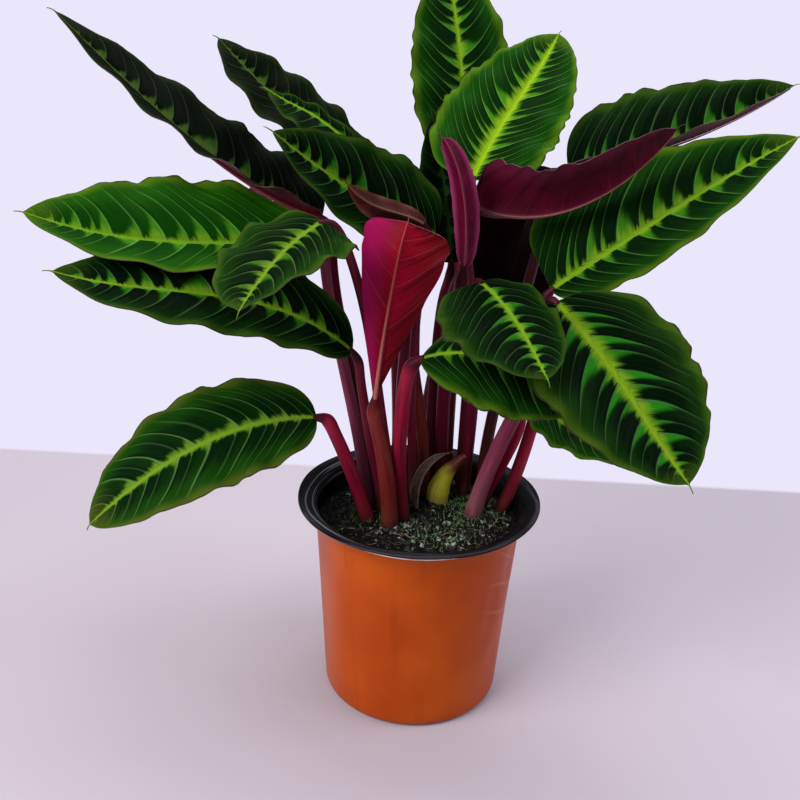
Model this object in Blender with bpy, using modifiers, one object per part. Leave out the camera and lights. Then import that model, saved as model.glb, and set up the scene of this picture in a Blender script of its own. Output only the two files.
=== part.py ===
"""Potted patterned foliage plant: thin two-tone pot, soil, leaf stalks and waved blades.

Frame: origin at the centre of the pot's underside, +Z up, metres.
The front of the plant faces -Y and its left side is at -X.
"""
import math

import bmesh
import bpy
import numpy as np
from mathutils import Vector

MM = 0.001

# Pot
RIM_RADIUS = 90 * MM
POT_HEIGHT = 160 * MM
BODY_TOP_RADIUS = 76.5 * MM
BODY_BOTTOM_RADIUS = 67 * MM
BOTTOM_ROUND = 6 * MM
WALL = 1.6 * MM
FLOOR_THICKNESS = 2.6 * MM
FLARE_DEPTH = 10 * MM
POT_STEPS = 40
DRAIN_COUNT = 6
DRAIN_RADIUS = 4.5 * MM
DRAIN_RING = 44 * MM

# Soil
SOIL_LEVEL = 141 * MM
SOIL_DOME = 1.5 * MM
GAP = 0.3 * MM

# Stalks
SUNK = 11 * MM
STALK_POINTS = 9
STALK_TIP_RADIUS = 2.6
JOINT_GAP = 0.8 * MM
JOINT_LENGTH = 9 * MM

# Blades
BLADE_THICKNESS = 0.8 * MM
BLADE_ROWS = 16
BLADE_COLUMNS = 4
BASE_HALF_WIDTH = 2.5
TIP_HALF_WIDTH = 1.2
BLADE_SHAPE = (0.5, 0.75)
FOLD_EASE = 0.5

# Each blade, in millimetres: four places on its midrib from base to tip, the way that its
# upper side faces at the base and at the tip, its half widths right and left of the midrib,
# how far each half folds up (degrees), and its edge wave (height, waves, phase).
# The optional shape says how blunt the base and the tip are: smaller is blunter. left_shape is
# the left half's own, and fold_tip is the fold at the tip where it isn't the fold at the base.
BLADES = {
    "leaf_01": dict(midrib=((-77, 30, 358), (-136, 36, 384), (-197, 46, 428), (-260, 55, 484)),
                    face=((0.45, -0.25, 0.85), (0.55, -0.25, 0.8)), half=(51, 24), fold=(8, 66),
                    fold_tip=(8, 2), wave=(3, 5, 0.0), shape=(0.4, 0.8)),
    "leaf_02": dict(midrib=((-10, 62, 366), (-72, 71, 402), (-119, 80, 436), (-158, 96, 470)),
                    face=((0.4, -0.4, 0.8), (0.4, -0.5, 0.75)), half=(33, 33), fold=(8, 10),
                    wave=(3, 5, 0.2), shape=(0.85, 0.8)),
    "leaf_03": dict(midrib=((-22, 45, 370), (-68, 47, 413), (-92, 47, 428), (-116, 47, 440)),
                    face=((0.4, -0.6, 0.7), (0.4, -0.6, 0.7)), half=(9, 22), fold=(8, 8), wave=(2, 4, 0.0),
                    shape=(0.5, 0.6)),
    "leaf_04": dict(midrib=((4, 38, 345), (-33, 22, 366), (-72, -2, 394), (-103, -26, 421)),
                    face=((0.35, -0.8, 0.5), (0.35, -0.8, 0.5)), half=(40, 32), fold=(8, 8),
                    wave=(3, 4, 0.0), shape=(0.4, 0.9), left_shape=(0.22, 0.85)),
    "leaf_05": dict(midrib=((-5, 2, 361), (-22, -6, 369), (-40, -14, 376), (-56, -22, 390)),
                    face=((0.3, 0.8, -0.3), (0.3, 0.8, -0.3)), half=(12, 11), fold=(40, 40),
                    wave=(1.5, 3, 0.0)),
    "leaf_06": dict(midrib=((-83, 12, 346), (-144, -12, 346), (-200, -35, 353), (-254, -50, 369)),
                    face=((0.0, -0.65, 0.76), (0.0, -0.6, 0.8)), half=(52, 32), fold=(6, 16),
                    wave=(3, 4, 0.3)),
    "leaf_07": dict(midrib=((-52, -8, 273), (-110, -32, 311), (-171, -55, 325), (-230, -75, 339)),
                    face=((0.2, -0.55, 0.8), (0.1, -0.55, 0.8)), half=(44, 32), fold=(0, 6),
                    wave=(2.5, 5, 0.0)),
    "leaf_08": dict(midrib=((-72, -22, 365), (-91, -44, 353), (-104, -73, 340), (-113, -100, 327)),
                    face=((-0.2, -0.45, 0.87), (-0.2, -0.6, 0.8)), half=(35, 46), fold=(6, 6),
                    wave=(3.5, 4, 0.0), shape=(0.45, 0.55), left_shape=(0.16, 0.95)),
    "leaf_09": dict(midrib=((-75, -20, 227), (-125, -40, 225), (-173, -60, 205), (-221, -75, 166)),
                    face=((-0.25, -0.6, 0.78), (-0.25, -0.65, 0.72)), half=(42, 41), fold=(3, 3),
                    wave=(2, 5, 0.0), shape=(0.45, 0.6)),
    "leaf_10": dict(midrib=((-34, -20, 244), (-29, -25, 295), (-23, -26, 338), (-17, -20, 366)),
                    face=((0.1, 0.95, -0.2), (0.2, 0.95, 0.1)), half=(27, 31), fold=(8, 8),
                    wave=(1.5, 3, 0.0), shape=(0.9, 0.16), left_shape=(1.0, 0.2)),
    "leaf_11": dict(midrib=((20, 98, 386), (20, 111, 438), (13, 131, 488), (4, 150, 534)),
                    face=((0.1, -0.8, 0.55), (0.1, -0.8, 0.55)), half=(38, 39), fold=(8, 8),
                    wave=(3, 5, 0.0)),
    "leaf_12": dict(midrib=((27, 38, 387), (45, 62, 420), (67, 86, 451), (87, 110, 482)),
                    face=((-0.2, -0.75, 0.65), (-0.2, -0.75, 0.65)), half=(44, 46), fold=(5, 5),
                    wave=(2.5, 5, 0.0), shape=(0.32, 0.62)),
    "leaf_13": dict(midrib=((16, 44, 326), (11, 56, 362), (5, 70, 395), (-2, 84, 424)),
                    face=((0.1, -0.8, 0.5), (0.1, -0.8, 0.5)), half=(20, 21), fold=(6, 6),
                    wave=(2, 3, 0.0), shape=(0.35, 0.8)),
    "leaf_14": dict(midrib=((23, 2, 333), (22, -4, 365), (16, -8, 395), (4, -10, 419)),
                    face=((0.2, 0.9, 0.1), (0.2, 0.9, 0.1)), half=(15, 11), fold=(45, 45),
                    wave=(0.5, 2, 0.0), shape=(0.3, 0.4)),
    "leaf_15": dict(midrib=((25, 23, 373), (75, 5, 371), (116, -15, 395), (144, -35, 433)),
                    face=((-0.3, 0.85, 0.3), (-0.3, 0.85, 0.3)), half=(40, 20), fold=(0, 50),
                    wave=(1.5, 4, 0.0), shape=(0.14, 0.42)),
    "leaf_16": dict(midrib=((94, 50, 397), (147, 66, 405), (206, 84, 425), (260, 100, 454)),
                    face=((-0.2, -0.5, 0.85), (-0.2, -0.5, 0.85)), half=(17, 48), fold=(60, 25),
                    wave=(1.5, 4, 0.0)),
    "leaf_17": dict(midrib=((85, 10, 318), (132, 0, 358), (178, -10, 396), (224, -20, 430)),
                    face=((-0.35, -0.7, 0.62), (-0.35, -0.7, 0.62)), half=(30, 60), fold=(6, 6),
                    wave=(2, 5, 0.0), shape=(0.5, 0.85), left_shape=(0.2, 0.85)),
    "leaf_18": dict(midrib=((82, -32, 321), (112, -73, 293), (136, -105, 264), (155, -130, 241)),
                    face=((0.1, -0.6, 0.8), (0.1, -0.6, 0.8)), half=(54, 56), fold=(4, 4),
                    wave=(2.5, 5, 0.0), shape=(0.36, 0.75)),
    "leaf_19": dict(midrib=((33, -20, 329), (51, -55, 318), (62, -85, 306), (69, -110, 296)),
                    face=((0, -0.4, 0.9), (0, -0.4, 0.9)), half=(50, 27), fold=(4, 4), wave=(3, 4, 0.0),
                    shape=(0.4, 0.7)),
    "leaf_20": dict(midrib=((-4, -38, 280), (34, -54, 290), (68, -64, 281), (97, -74, 263)),
                    face=((0.0, -0.5, 0.85), (0.0, -0.5, 0.85)), half=(46, 34), fold=(6, 6),
                    wave=(2, 4, 0.0), shape=(0.7, 0.7)),
    "leaf_21": dict(midrib=((79, 6, 236), (99, -6, 226), (121, -20, 217), (145, -37, 209)),
                    face=((0.1, -0.3, 0.95), (0.1, -0.3, 0.95)), half=(30, 5), fold=(6, 6),
                    wave=(2, 4, 0.0)),
    "leaf_22": dict(midrib=((-30, 100, 330), (-70, 140, 352), (-115, 180, 350), (-160, 215, 325)),
                    face=((0.2, 0.3, 0.9), (-0.3, 0.4, 0.85)), half=(42, 42), fold=(8, 8),
                    wave=(3, 5, 0.0)),
    "leaf_23": dict(midrib=((63, 104, 283), (70, 110, 326), (80, 128, 354), (93, 160, 378)),
                    face=((0.1, 0.9, -0.3), (0.0, 0.5, 0.8)), half=(54, 50), fold=(8, 8), wave=(3, 5, 0.0),
                    shape=(0.35, 0.7)),
}

# Each stalk, in millimetres: where it stands in the soil, two places on its way up to its
# blade, and its radius at the soil and below the joint of the blade.
STALKS = {
    "leaf_01": dict(foot=(-27, 20), way=((-50, 22, 230), (-66, 26, 305)), radii=(4.4, 3.2)),
    "leaf_02": dict(foot=(-4, 44), way=((-6, 50, 215), (-8, 60, 295)), radii=(4.4, 3.2)),
    "leaf_03": dict(foot=(4, 36), way=((-1, 33, 208), (-13, 36, 280)), radii=(4.8, 3.6)),
    "leaf_04": dict(foot=(-14, 30), way=((-16, 22, 215), (-12, 22, 290)), radii=(4.4, 3.4)),
    "leaf_05": dict(foot=(-2, 22), way=((-8, 14, 215), (-8, 4, 295)), radii=(3.6, 2.6)),
    "leaf_06": dict(foot=(-37, 10), way=((-50, 12, 215), (-66, 15, 285)), radii=(4.6, 3.4)),
    "leaf_07": dict(foot=(-24, 4), way=((-36, 2, 195), (-44, -2, 240)), radii=(4.3, 3.0)),
    "leaf_08": dict(foot=(-13, 12), way=((-30, 8, 215), (-42, -6, 295)), radii=(4.2, 3.0)),
    "leaf_09": dict(foot=(-34, -7), way=((-50, -11, 181), (-62, -17, 214)), radii=(5.2, 4.4)),
    "leaf_10": dict(foot=(-20, -14), way=((-25, -16, 185), (-31, -18, 216)), radii=(6.0, 5.2)),
    "leaf_11": dict(foot=(-2, 62), way=((8, 78, 225), (20, 92, 310)), radii=(4.6, 3.4)),
    "leaf_12": dict(foot=(24, 58), way=((22, 50, 225), (24, 42, 310)), radii=(4.6, 3.4)),
    "leaf_13": dict(foot=(8, 48), way=((8, 50, 210), (10, 55, 280)), radii=(4.2, 3.2)),
    "leaf_14": dict(foot=(22, 46), way=((16, 36, 215), (19, 14, 290)), radii=(5.0, 4.4)),
    "leaf_15": dict(foot=(36, 52), way=((34, 46, 215), (32, 34, 290)), radii=(4.6, 3.4)),
    "leaf_16": dict(foot=(50, 34), way=((56, 38, 225), (74, 44, 320)), radii=(4.6, 3.4)),
    "leaf_17": dict(foot=(61, 17), way=((78, 14, 197), (86, 12, 262)), radii=(4.8, 4.0)),
    "leaf_18": dict(foot=(40, 6), way=((60, -5, 215), (78, -22, 275)), radii=(6.0, 4.0)),
    "leaf_19": dict(foot=(36, 40), way=((38, 32, 222), (36, 4, 290)), radii=(4.6, 3.6)),
    "leaf_20": dict(foot=(-10, -3), way=((-16, -8, 188), (-15, -26, 242)), radii=(5.6, 4.6)),
    "leaf_21": dict(foot=(46, 20), way=((58, 16, 170), (70, 10, 205)), radii=(4.2, 3.2)),
    "leaf_22": dict(foot=(-18, 52), way=((-20, 72, 220), (-26, 90, 290)), radii=(4.6, 3.4)),
    "leaf_23": dict(foot=(10, 61), way=((20, 84, 214), (32, 102, 266)), radii=(4.6, 3.4)),
}

# The young shoot and the dry sheath beside it, in millimetres
SHOOT_PATH = ((16, 27, 130), (16, 26, 152), (23, 25, 169), (34, 23, 182))
SHOOT_RADII = (8.2, 8.6, 5.6, 1.6)
SHEATH = dict(midrib=((-2, 8, 143.2), (-4, 9, 160), (3, 12, 177), (19, 15, 187)),
              face=((0.7, 0.6, 0.1), (0.7, 0.6, -0.4)), half=(6, 5), fold=(25, 25), wave=(0, 1, 0.0),
              shape=(0.3, 0.6))


def clear_scene():
    for found in list(bpy.data.objects):
        bpy.data.objects.remove(found, do_unlink=True)


def new_collection(name):
    collection = bpy.data.collections.new(name)
    bpy.context.scene.collection.children.link(collection)
    return collection


def new_material(name, colour, roughness):
    material = bpy.data.materials.new(name)
    material.use_nodes = True
    shader = material.node_tree.nodes["Principled BSDF"]
    shader.inputs["Base Color"].default_value = (*colour, 1.0)
    shader.inputs["Roughness"].default_value = roughness
    shader.inputs["Metallic"].default_value = 0.0
    return material


def add_object(name, data, collection, material):
    made = bpy.data.objects.new(name, data)
    collection.objects.link(made)
    data.materials.append(material)
    return made


def smooth_curve(places, steps):
    """Points and slopes of the cubic through four places, from the first to the last."""
    knots = (0.0, 1 / 3, 2 / 3, 1.0)
    places = np.array(places, dtype=float)
    points = np.zeros((len(steps), 3))
    slopes = np.zeros((len(steps), 3))
    for index, knot in enumerate(knots):
        a, b, c = [other for other in knots if other != knot]
        scale = (knot - a) * (knot - b) * (knot - c)
        share = (steps - a) * (steps - b) * (steps - c) / scale
        change = ((steps - b) * (steps - c) + (steps - a) * (steps - c) + (steps - a) * (steps - b)) / scale
        points += share[:, None] * places[index]
        slopes += change[:, None] * places[index]
    return points, slopes


def normalised(vectors):
    return vectors / np.linalg.norm(vectors, axis=1)[:, None]


def width_share(steps, base_power, tip_power):
    """A blade's width along its length, as a share of its widest."""
    widest = base_power / (base_power + tip_power)
    most = widest ** base_power * (1 - widest) ** tip_power
    return steps ** base_power * (1 - steps) ** tip_power / most


def blade_point_function(spec):
    """A function that gives the place on a blade for its length and width shares."""
    steps = np.linspace(0, 1, BLADE_ROWS + 1)
    centres, slopes = smooth_curve(spec["midrib"], steps)
    along = normalised(slopes)
    face_base, face_tip = (np.array(face, dtype=float) for face in spec["face"])
    up = face_base + (face_tip - face_base) * steps[:, None]
    up = normalised(up - (up * along).sum(axis=1)[:, None] * along)
    right = np.cross(along, up)
    shape = spec.get("shape", BLADE_SHAPE)
    widths = [width_share(steps, *powers) for powers in (shape, spec.get("left_shape", shape))]
    least = np.where(steps < 0.5, BASE_HALF_WIDTH, TIP_HALF_WIDTH)
    height, waves, phase = spec["wave"]
    fold_base, fold_tip = spec["fold"], spec.get("fold_tip", spec["fold"])

    def place(row, across):
        side = 0 if across >= 0 else 1
        width = widths[side][row]
        reach = max(spec["half"][side] * width, least[row]) * abs(across)
        opened = (fold_tip[side] - fold_base[side]) * steps[row] ** FOLD_EASE
        angle = math.radians(fold_base[side] + opened)
        turn = waves * steps[row] + phase + 0.5 * side
        ripple = height * across ** 2 * width * math.sin(2 * math.pi * turn)
        sideways = reach * math.cos(angle) * (1 - 2 * side)
        lift = reach * math.sin(angle) + ripple
        return (centres[row] + right[row] * sideways + up[row] * lift) * MM

    return place


def add_blade(name, spec, collection, material):
    place = blade_point_function(spec)
    grid = bmesh.new()
    bmesh.ops.create_grid(grid, x_segments=BLADE_ROWS, y_segments=BLADE_COLUMNS, size=0.5)
    for vertex in grid.verts:
        row = round((vertex.co.x + 0.5) * BLADE_ROWS)
        vertex.co = place(row, -2 * vertex.co.y)
    bmesh.ops.triangulate(grid, faces=grid.faces[:], quad_method="FIXED")
    mesh = bpy.data.meshes.new(name)
    grid.to_mesh(mesh)
    grid.free()
    mesh.shade_smooth()
    blade = add_object(name, mesh, collection, material)
    shell = blade.modifiers.new("Thickness", "SOLIDIFY")
    shell.thickness = BLADE_THICKNESS
    shell.offset = 0.0
    return blade




def add_tube(name, points, radii, collection, material):
    curve = bpy.data.curves.new(name, "CURVE")
    curve.dimensions = "3D"
    curve.bevel_depth = MM
    curve.bevel_resolution = 2
    curve.use_fill_caps = True
    spline = curve.splines.new("POLY")
    spline.points.add(len(points) - 1)
    for point, place, radius in zip(spline.points, points, radii):
        point.co = (*(np.array(place) * MM), 1.0)
        point.radius = radius
    return add_object(name, curve, collection, material)


def stalk_line(name):
    """A stalk's points, from its sunken foot to the joint at its blade, and their radii.

    The joint is a short straight piece that points along the blade's midrib.
    """
    stalk = STALKS[name]
    foot = (*stalk["foot"], (SOIL_LEVEL - SUNK) / MM)
    base, slope = smooth_curve(BLADES[name]["midrib"], np.zeros(1))
    along = normalised(slope)[0]
    joint = base[0] - along * JOINT_LENGTH / MM
    steps = np.linspace(0, 1, STALK_POINTS)
    points, _ = smooth_curve((foot, *stalk["way"], joint), steps)
    points = np.vstack([points, base[0] - along * JOINT_GAP / MM])
    low, high = stalk["radii"]
    radii = np.append(low + (high - low) * steps, STALK_TIP_RADIUS)
    return points, radii


def add_turned(name, profile, collection, material):
    """A turned piece from (radius, height) pairs in metres."""
    mesh = bpy.data.meshes.new(name)
    vertices = [(radius, 0.0, height) for radius, height in profile]
    edges = [(index, index + 1) for index in range(len(profile) - 1)]
    mesh.from_pydata(vertices, edges, [])
    turned = add_object(name, mesh, collection, material)
    screw = turned.modifiers.new("Turn", "SCREW")
    screw.steps = POT_STEPS
    screw.render_steps = POT_STEPS
    screw.use_merge_vertices = True
    screw.merge_threshold = 0.00001
    screw.use_smooth_shade = True
    return turned


def wall_radius(height):
    """The outer radius of the pot's tapered body."""
    body_height = POT_HEIGHT - FLARE_DEPTH
    return BODY_BOTTOM_RADIUS + (BODY_TOP_RADIUS - BODY_BOTTOM_RADIUS) * height / body_height


def arc(centre_radius, centre_height, size, start, end, count):
    """Profile points on an arc, with angles in degrees from the +R axis."""
    angles = [math.radians(start + (end - start) * index / (count - 1)) for index in range(count)]
    return [(centre_radius + size * math.cos(a), centre_height + size * math.sin(a)) for a in angles]


def pot_profile():
    body_top = POT_HEIGHT - FLARE_DEPTH
    inner_corner = wall_radius(FLOOR_THICKNESS + BOTTOM_ROUND / 2) - WALL - BOTTOM_ROUND / 2
    profile = [(0.0, FLOOR_THICKNESS), (inner_corner, FLOOR_THICKNESS)]
    profile += arc(inner_corner, FLOOR_THICKNESS + BOTTOM_ROUND / 2, BOTTOM_ROUND / 2, -45, 0, 2)
    profile += [(wall_radius(height) - WALL, height) for height in (body_top * 0.5, body_top)]
    flare = ((1.2, 3.6), (4.0, 6.4), (8.0, 8.2), (11.6, 9.4), (13.0, 10.0))
    profile += [(BODY_TOP_RADIUS - WALL + out * MM + 0.3 * MM, body_top + up * MM) for out, up in flare]
    profile += [(RIM_RADIUS - 0.4 * MM, POT_HEIGHT - 0.4 * MM), (RIM_RADIUS, POT_HEIGHT - 1.6 * MM)]
    profile += [(RIM_RADIUS - 0.8 * MM, POT_HEIGHT - 2.4 * MM)]
    under = ((10.2, 6.6), (6.0, 4.8), (2.4, 2.4), (0.6, 0.0))
    profile += [(BODY_TOP_RADIUS + out * MM, body_top + up * MM - 0.4 * MM) for out, up in under]
    profile += [(wall_radius(height), height) for height in (body_top * 0.95, body_top * 0.5)]
    profile += arc(BODY_BOTTOM_RADIUS - BOTTOM_ROUND, BOTTOM_ROUND, BOTTOM_ROUND, 0, -90, 4)
    profile += [(0.0, 0.0)]
    return profile


def add_drains(pot, cutters):
    for index in range(DRAIN_COUNT):
        angle = 2 * math.pi * index / DRAIN_COUNT
        bpy.ops.mesh.primitive_cylinder_add(
            vertices=12, radius=DRAIN_RADIUS, depth=20 * MM,
            location=(DRAIN_RING * math.cos(angle), DRAIN_RING * math.sin(angle), 0.0))
        collect_cutter(bpy.context.object, f"drain_cutter_{index + 1}", cutters)
    cut_with(pot, cutters, "Drain holes")


def collect_cutter(cutter, name, cutters):
    cutter.name = name
    for holder in list(cutter.users_collection):
        holder.objects.unlink(cutter)
    cutters.objects.link(cutter)
    cutter.hide_render = True
    cutter.display_type = "WIRE"


def cut_with(target, cutters, label):
    cut = target.modifiers.new(label, "BOOLEAN")
    cut.operation = "DIFFERENCE"
    cut.operand_type = "COLLECTION"
    cut.collection = cutters
    cut.solver = "EXACT"


def add_soil(collection, material):
    bottom = FLOOR_THICKNESS + GAP
    side_top = SOIL_LEVEL - 1.5 * MM
    corner = BOTTOM_ROUND / 2
    clear = WALL + GAP
    profile = [(0.0, SOIL_LEVEL + SOIL_DOME), (32 * MM, SOIL_LEVEL + SOIL_DOME), (60 * MM, SOIL_LEVEL)]
    profile += [(wall_radius(side_top) - clear, side_top)]
    profile += [(wall_radius(height) - clear, height) for height in (side_top / 2, bottom + 2 * corner)]
    profile += [(BODY_BOTTOM_RADIUS - clear - 2 * corner, bottom), (0.0, bottom)]
    return add_turned("soil", profile, collection, material)


def add_hole_cutter(name, start, direction, radius, cutters):
    """A round cutter from just below a sunken foot, along the foot's direction."""
    length = 30 * MM
    below = 0.5 * MM
    sides = 12
    clear = (radius * MM + GAP) / math.cos(math.pi / sides)
    middle = start + direction * (length / 2 - below)
    bpy.ops.mesh.primitive_cylinder_add(vertices=sides, radius=clear, depth=length, location=middle)
    cutter = bpy.context.object
    cutter.rotation_mode = "QUATERNION"
    cutter.rotation_quaternion = direction.to_track_quat("Z", "Y")
    collect_cutter(cutter, name, cutters)


def main():
    clear_scene()
    plant = new_collection("potted_foliage_plant")
    drain_cutters = new_collection("drain_cutters")
    hole_cutters = new_collection("hole_cutters")

    pot_plastic = new_material("pot_plastic", (0.42, 0.08, 0.02), 0.45)
    peat = new_material("peat", (0.02, 0.016, 0.014), 0.95)
    leaf_green = new_material("leaf_green", (0.03, 0.12, 0.02), 0.5)
    stalk_red = new_material("stalk_red", (0.16, 0.02, 0.035), 0.45)
    shoot_green = new_material("shoot_green", (0.35, 0.36, 0.05), 0.5)
    sheath_brown = new_material("sheath_brown", (0.14, 0.08, 0.05), 0.7)

    pot = add_turned("pot", pot_profile(), plant, pot_plastic)
    add_drains(pot, drain_cutters)
    soil = add_soil(plant, peat)

    for name, spec in BLADES.items():
        add_blade(name + "_blade", spec, plant, leaf_green)
        points, radii = stalk_line(name)
        add_tube(name + "_petiole", points, radii, plant, stalk_red)
        foot = Vector(points[0] * MM)
        direction = (Vector(points[1] * MM) - foot).normalized()
        add_hole_cutter(name + "_hole", foot, direction, radii[0], hole_cutters)

    add_tube("young_shoot", SHOOT_PATH, SHOOT_RADII, plant, shoot_green)
    shoot_foot = Vector(SHOOT_PATH[0]) * MM
    shoot_way = (Vector(SHOOT_PATH[1]) * MM - shoot_foot).normalized()
    add_hole_cutter("young_shoot_hole", shoot_foot, shoot_way, max(SHOOT_RADII), hole_cutters)
    add_blade("dry_sheath", SHEATH, plant, sheath_brown)
    cut_with(soil, hole_cutters, "Stalk holes")


main()
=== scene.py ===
import math
import random

import bpy
import numpy as np
from mathutils import Matrix, Vector, noise


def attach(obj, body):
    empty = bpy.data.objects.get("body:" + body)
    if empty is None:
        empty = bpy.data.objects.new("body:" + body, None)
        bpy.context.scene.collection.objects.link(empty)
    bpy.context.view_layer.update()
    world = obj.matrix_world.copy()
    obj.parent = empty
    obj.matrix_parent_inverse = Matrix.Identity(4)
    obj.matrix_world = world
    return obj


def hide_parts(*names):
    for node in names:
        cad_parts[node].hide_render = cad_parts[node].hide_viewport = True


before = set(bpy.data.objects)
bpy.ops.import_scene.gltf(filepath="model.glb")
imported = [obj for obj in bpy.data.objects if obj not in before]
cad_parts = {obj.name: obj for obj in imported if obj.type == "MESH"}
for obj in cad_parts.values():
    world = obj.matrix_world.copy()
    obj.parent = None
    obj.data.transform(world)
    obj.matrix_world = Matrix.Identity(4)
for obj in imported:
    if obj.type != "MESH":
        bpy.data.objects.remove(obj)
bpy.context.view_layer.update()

MM = 0.001

# ---------------------------------------------------------------- the plant's measures, in mm

RIM_RADIUS = 90.0
POT_HEIGHT = 160.0
BODY_TOP_RADIUS = 76.5
BODY_BOTTOM_RADIUS = 67.0
BOTTOM_ROUND = 6.0
WALL = 1.6
FLOOR_THICKNESS = 2.6
FLARE_DEPTH = 10.0
DRAIN_COUNT = 6
DRAIN_RADIUS = 4.5
DRAIN_RING = 44.0
SOIL_LEVEL = 141.0

JOINT_LENGTH = 9.0
STALK_TIP_RADIUS = 2.6
STALK_FOOT_HEIGHT = 130.0
BASE_HALF_WIDTH = 2.5
BLADE_SHAPE = (0.5, 0.75)
FOLD_EASE = 0.5
LEAF_THICKNESS = 0.5

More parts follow.
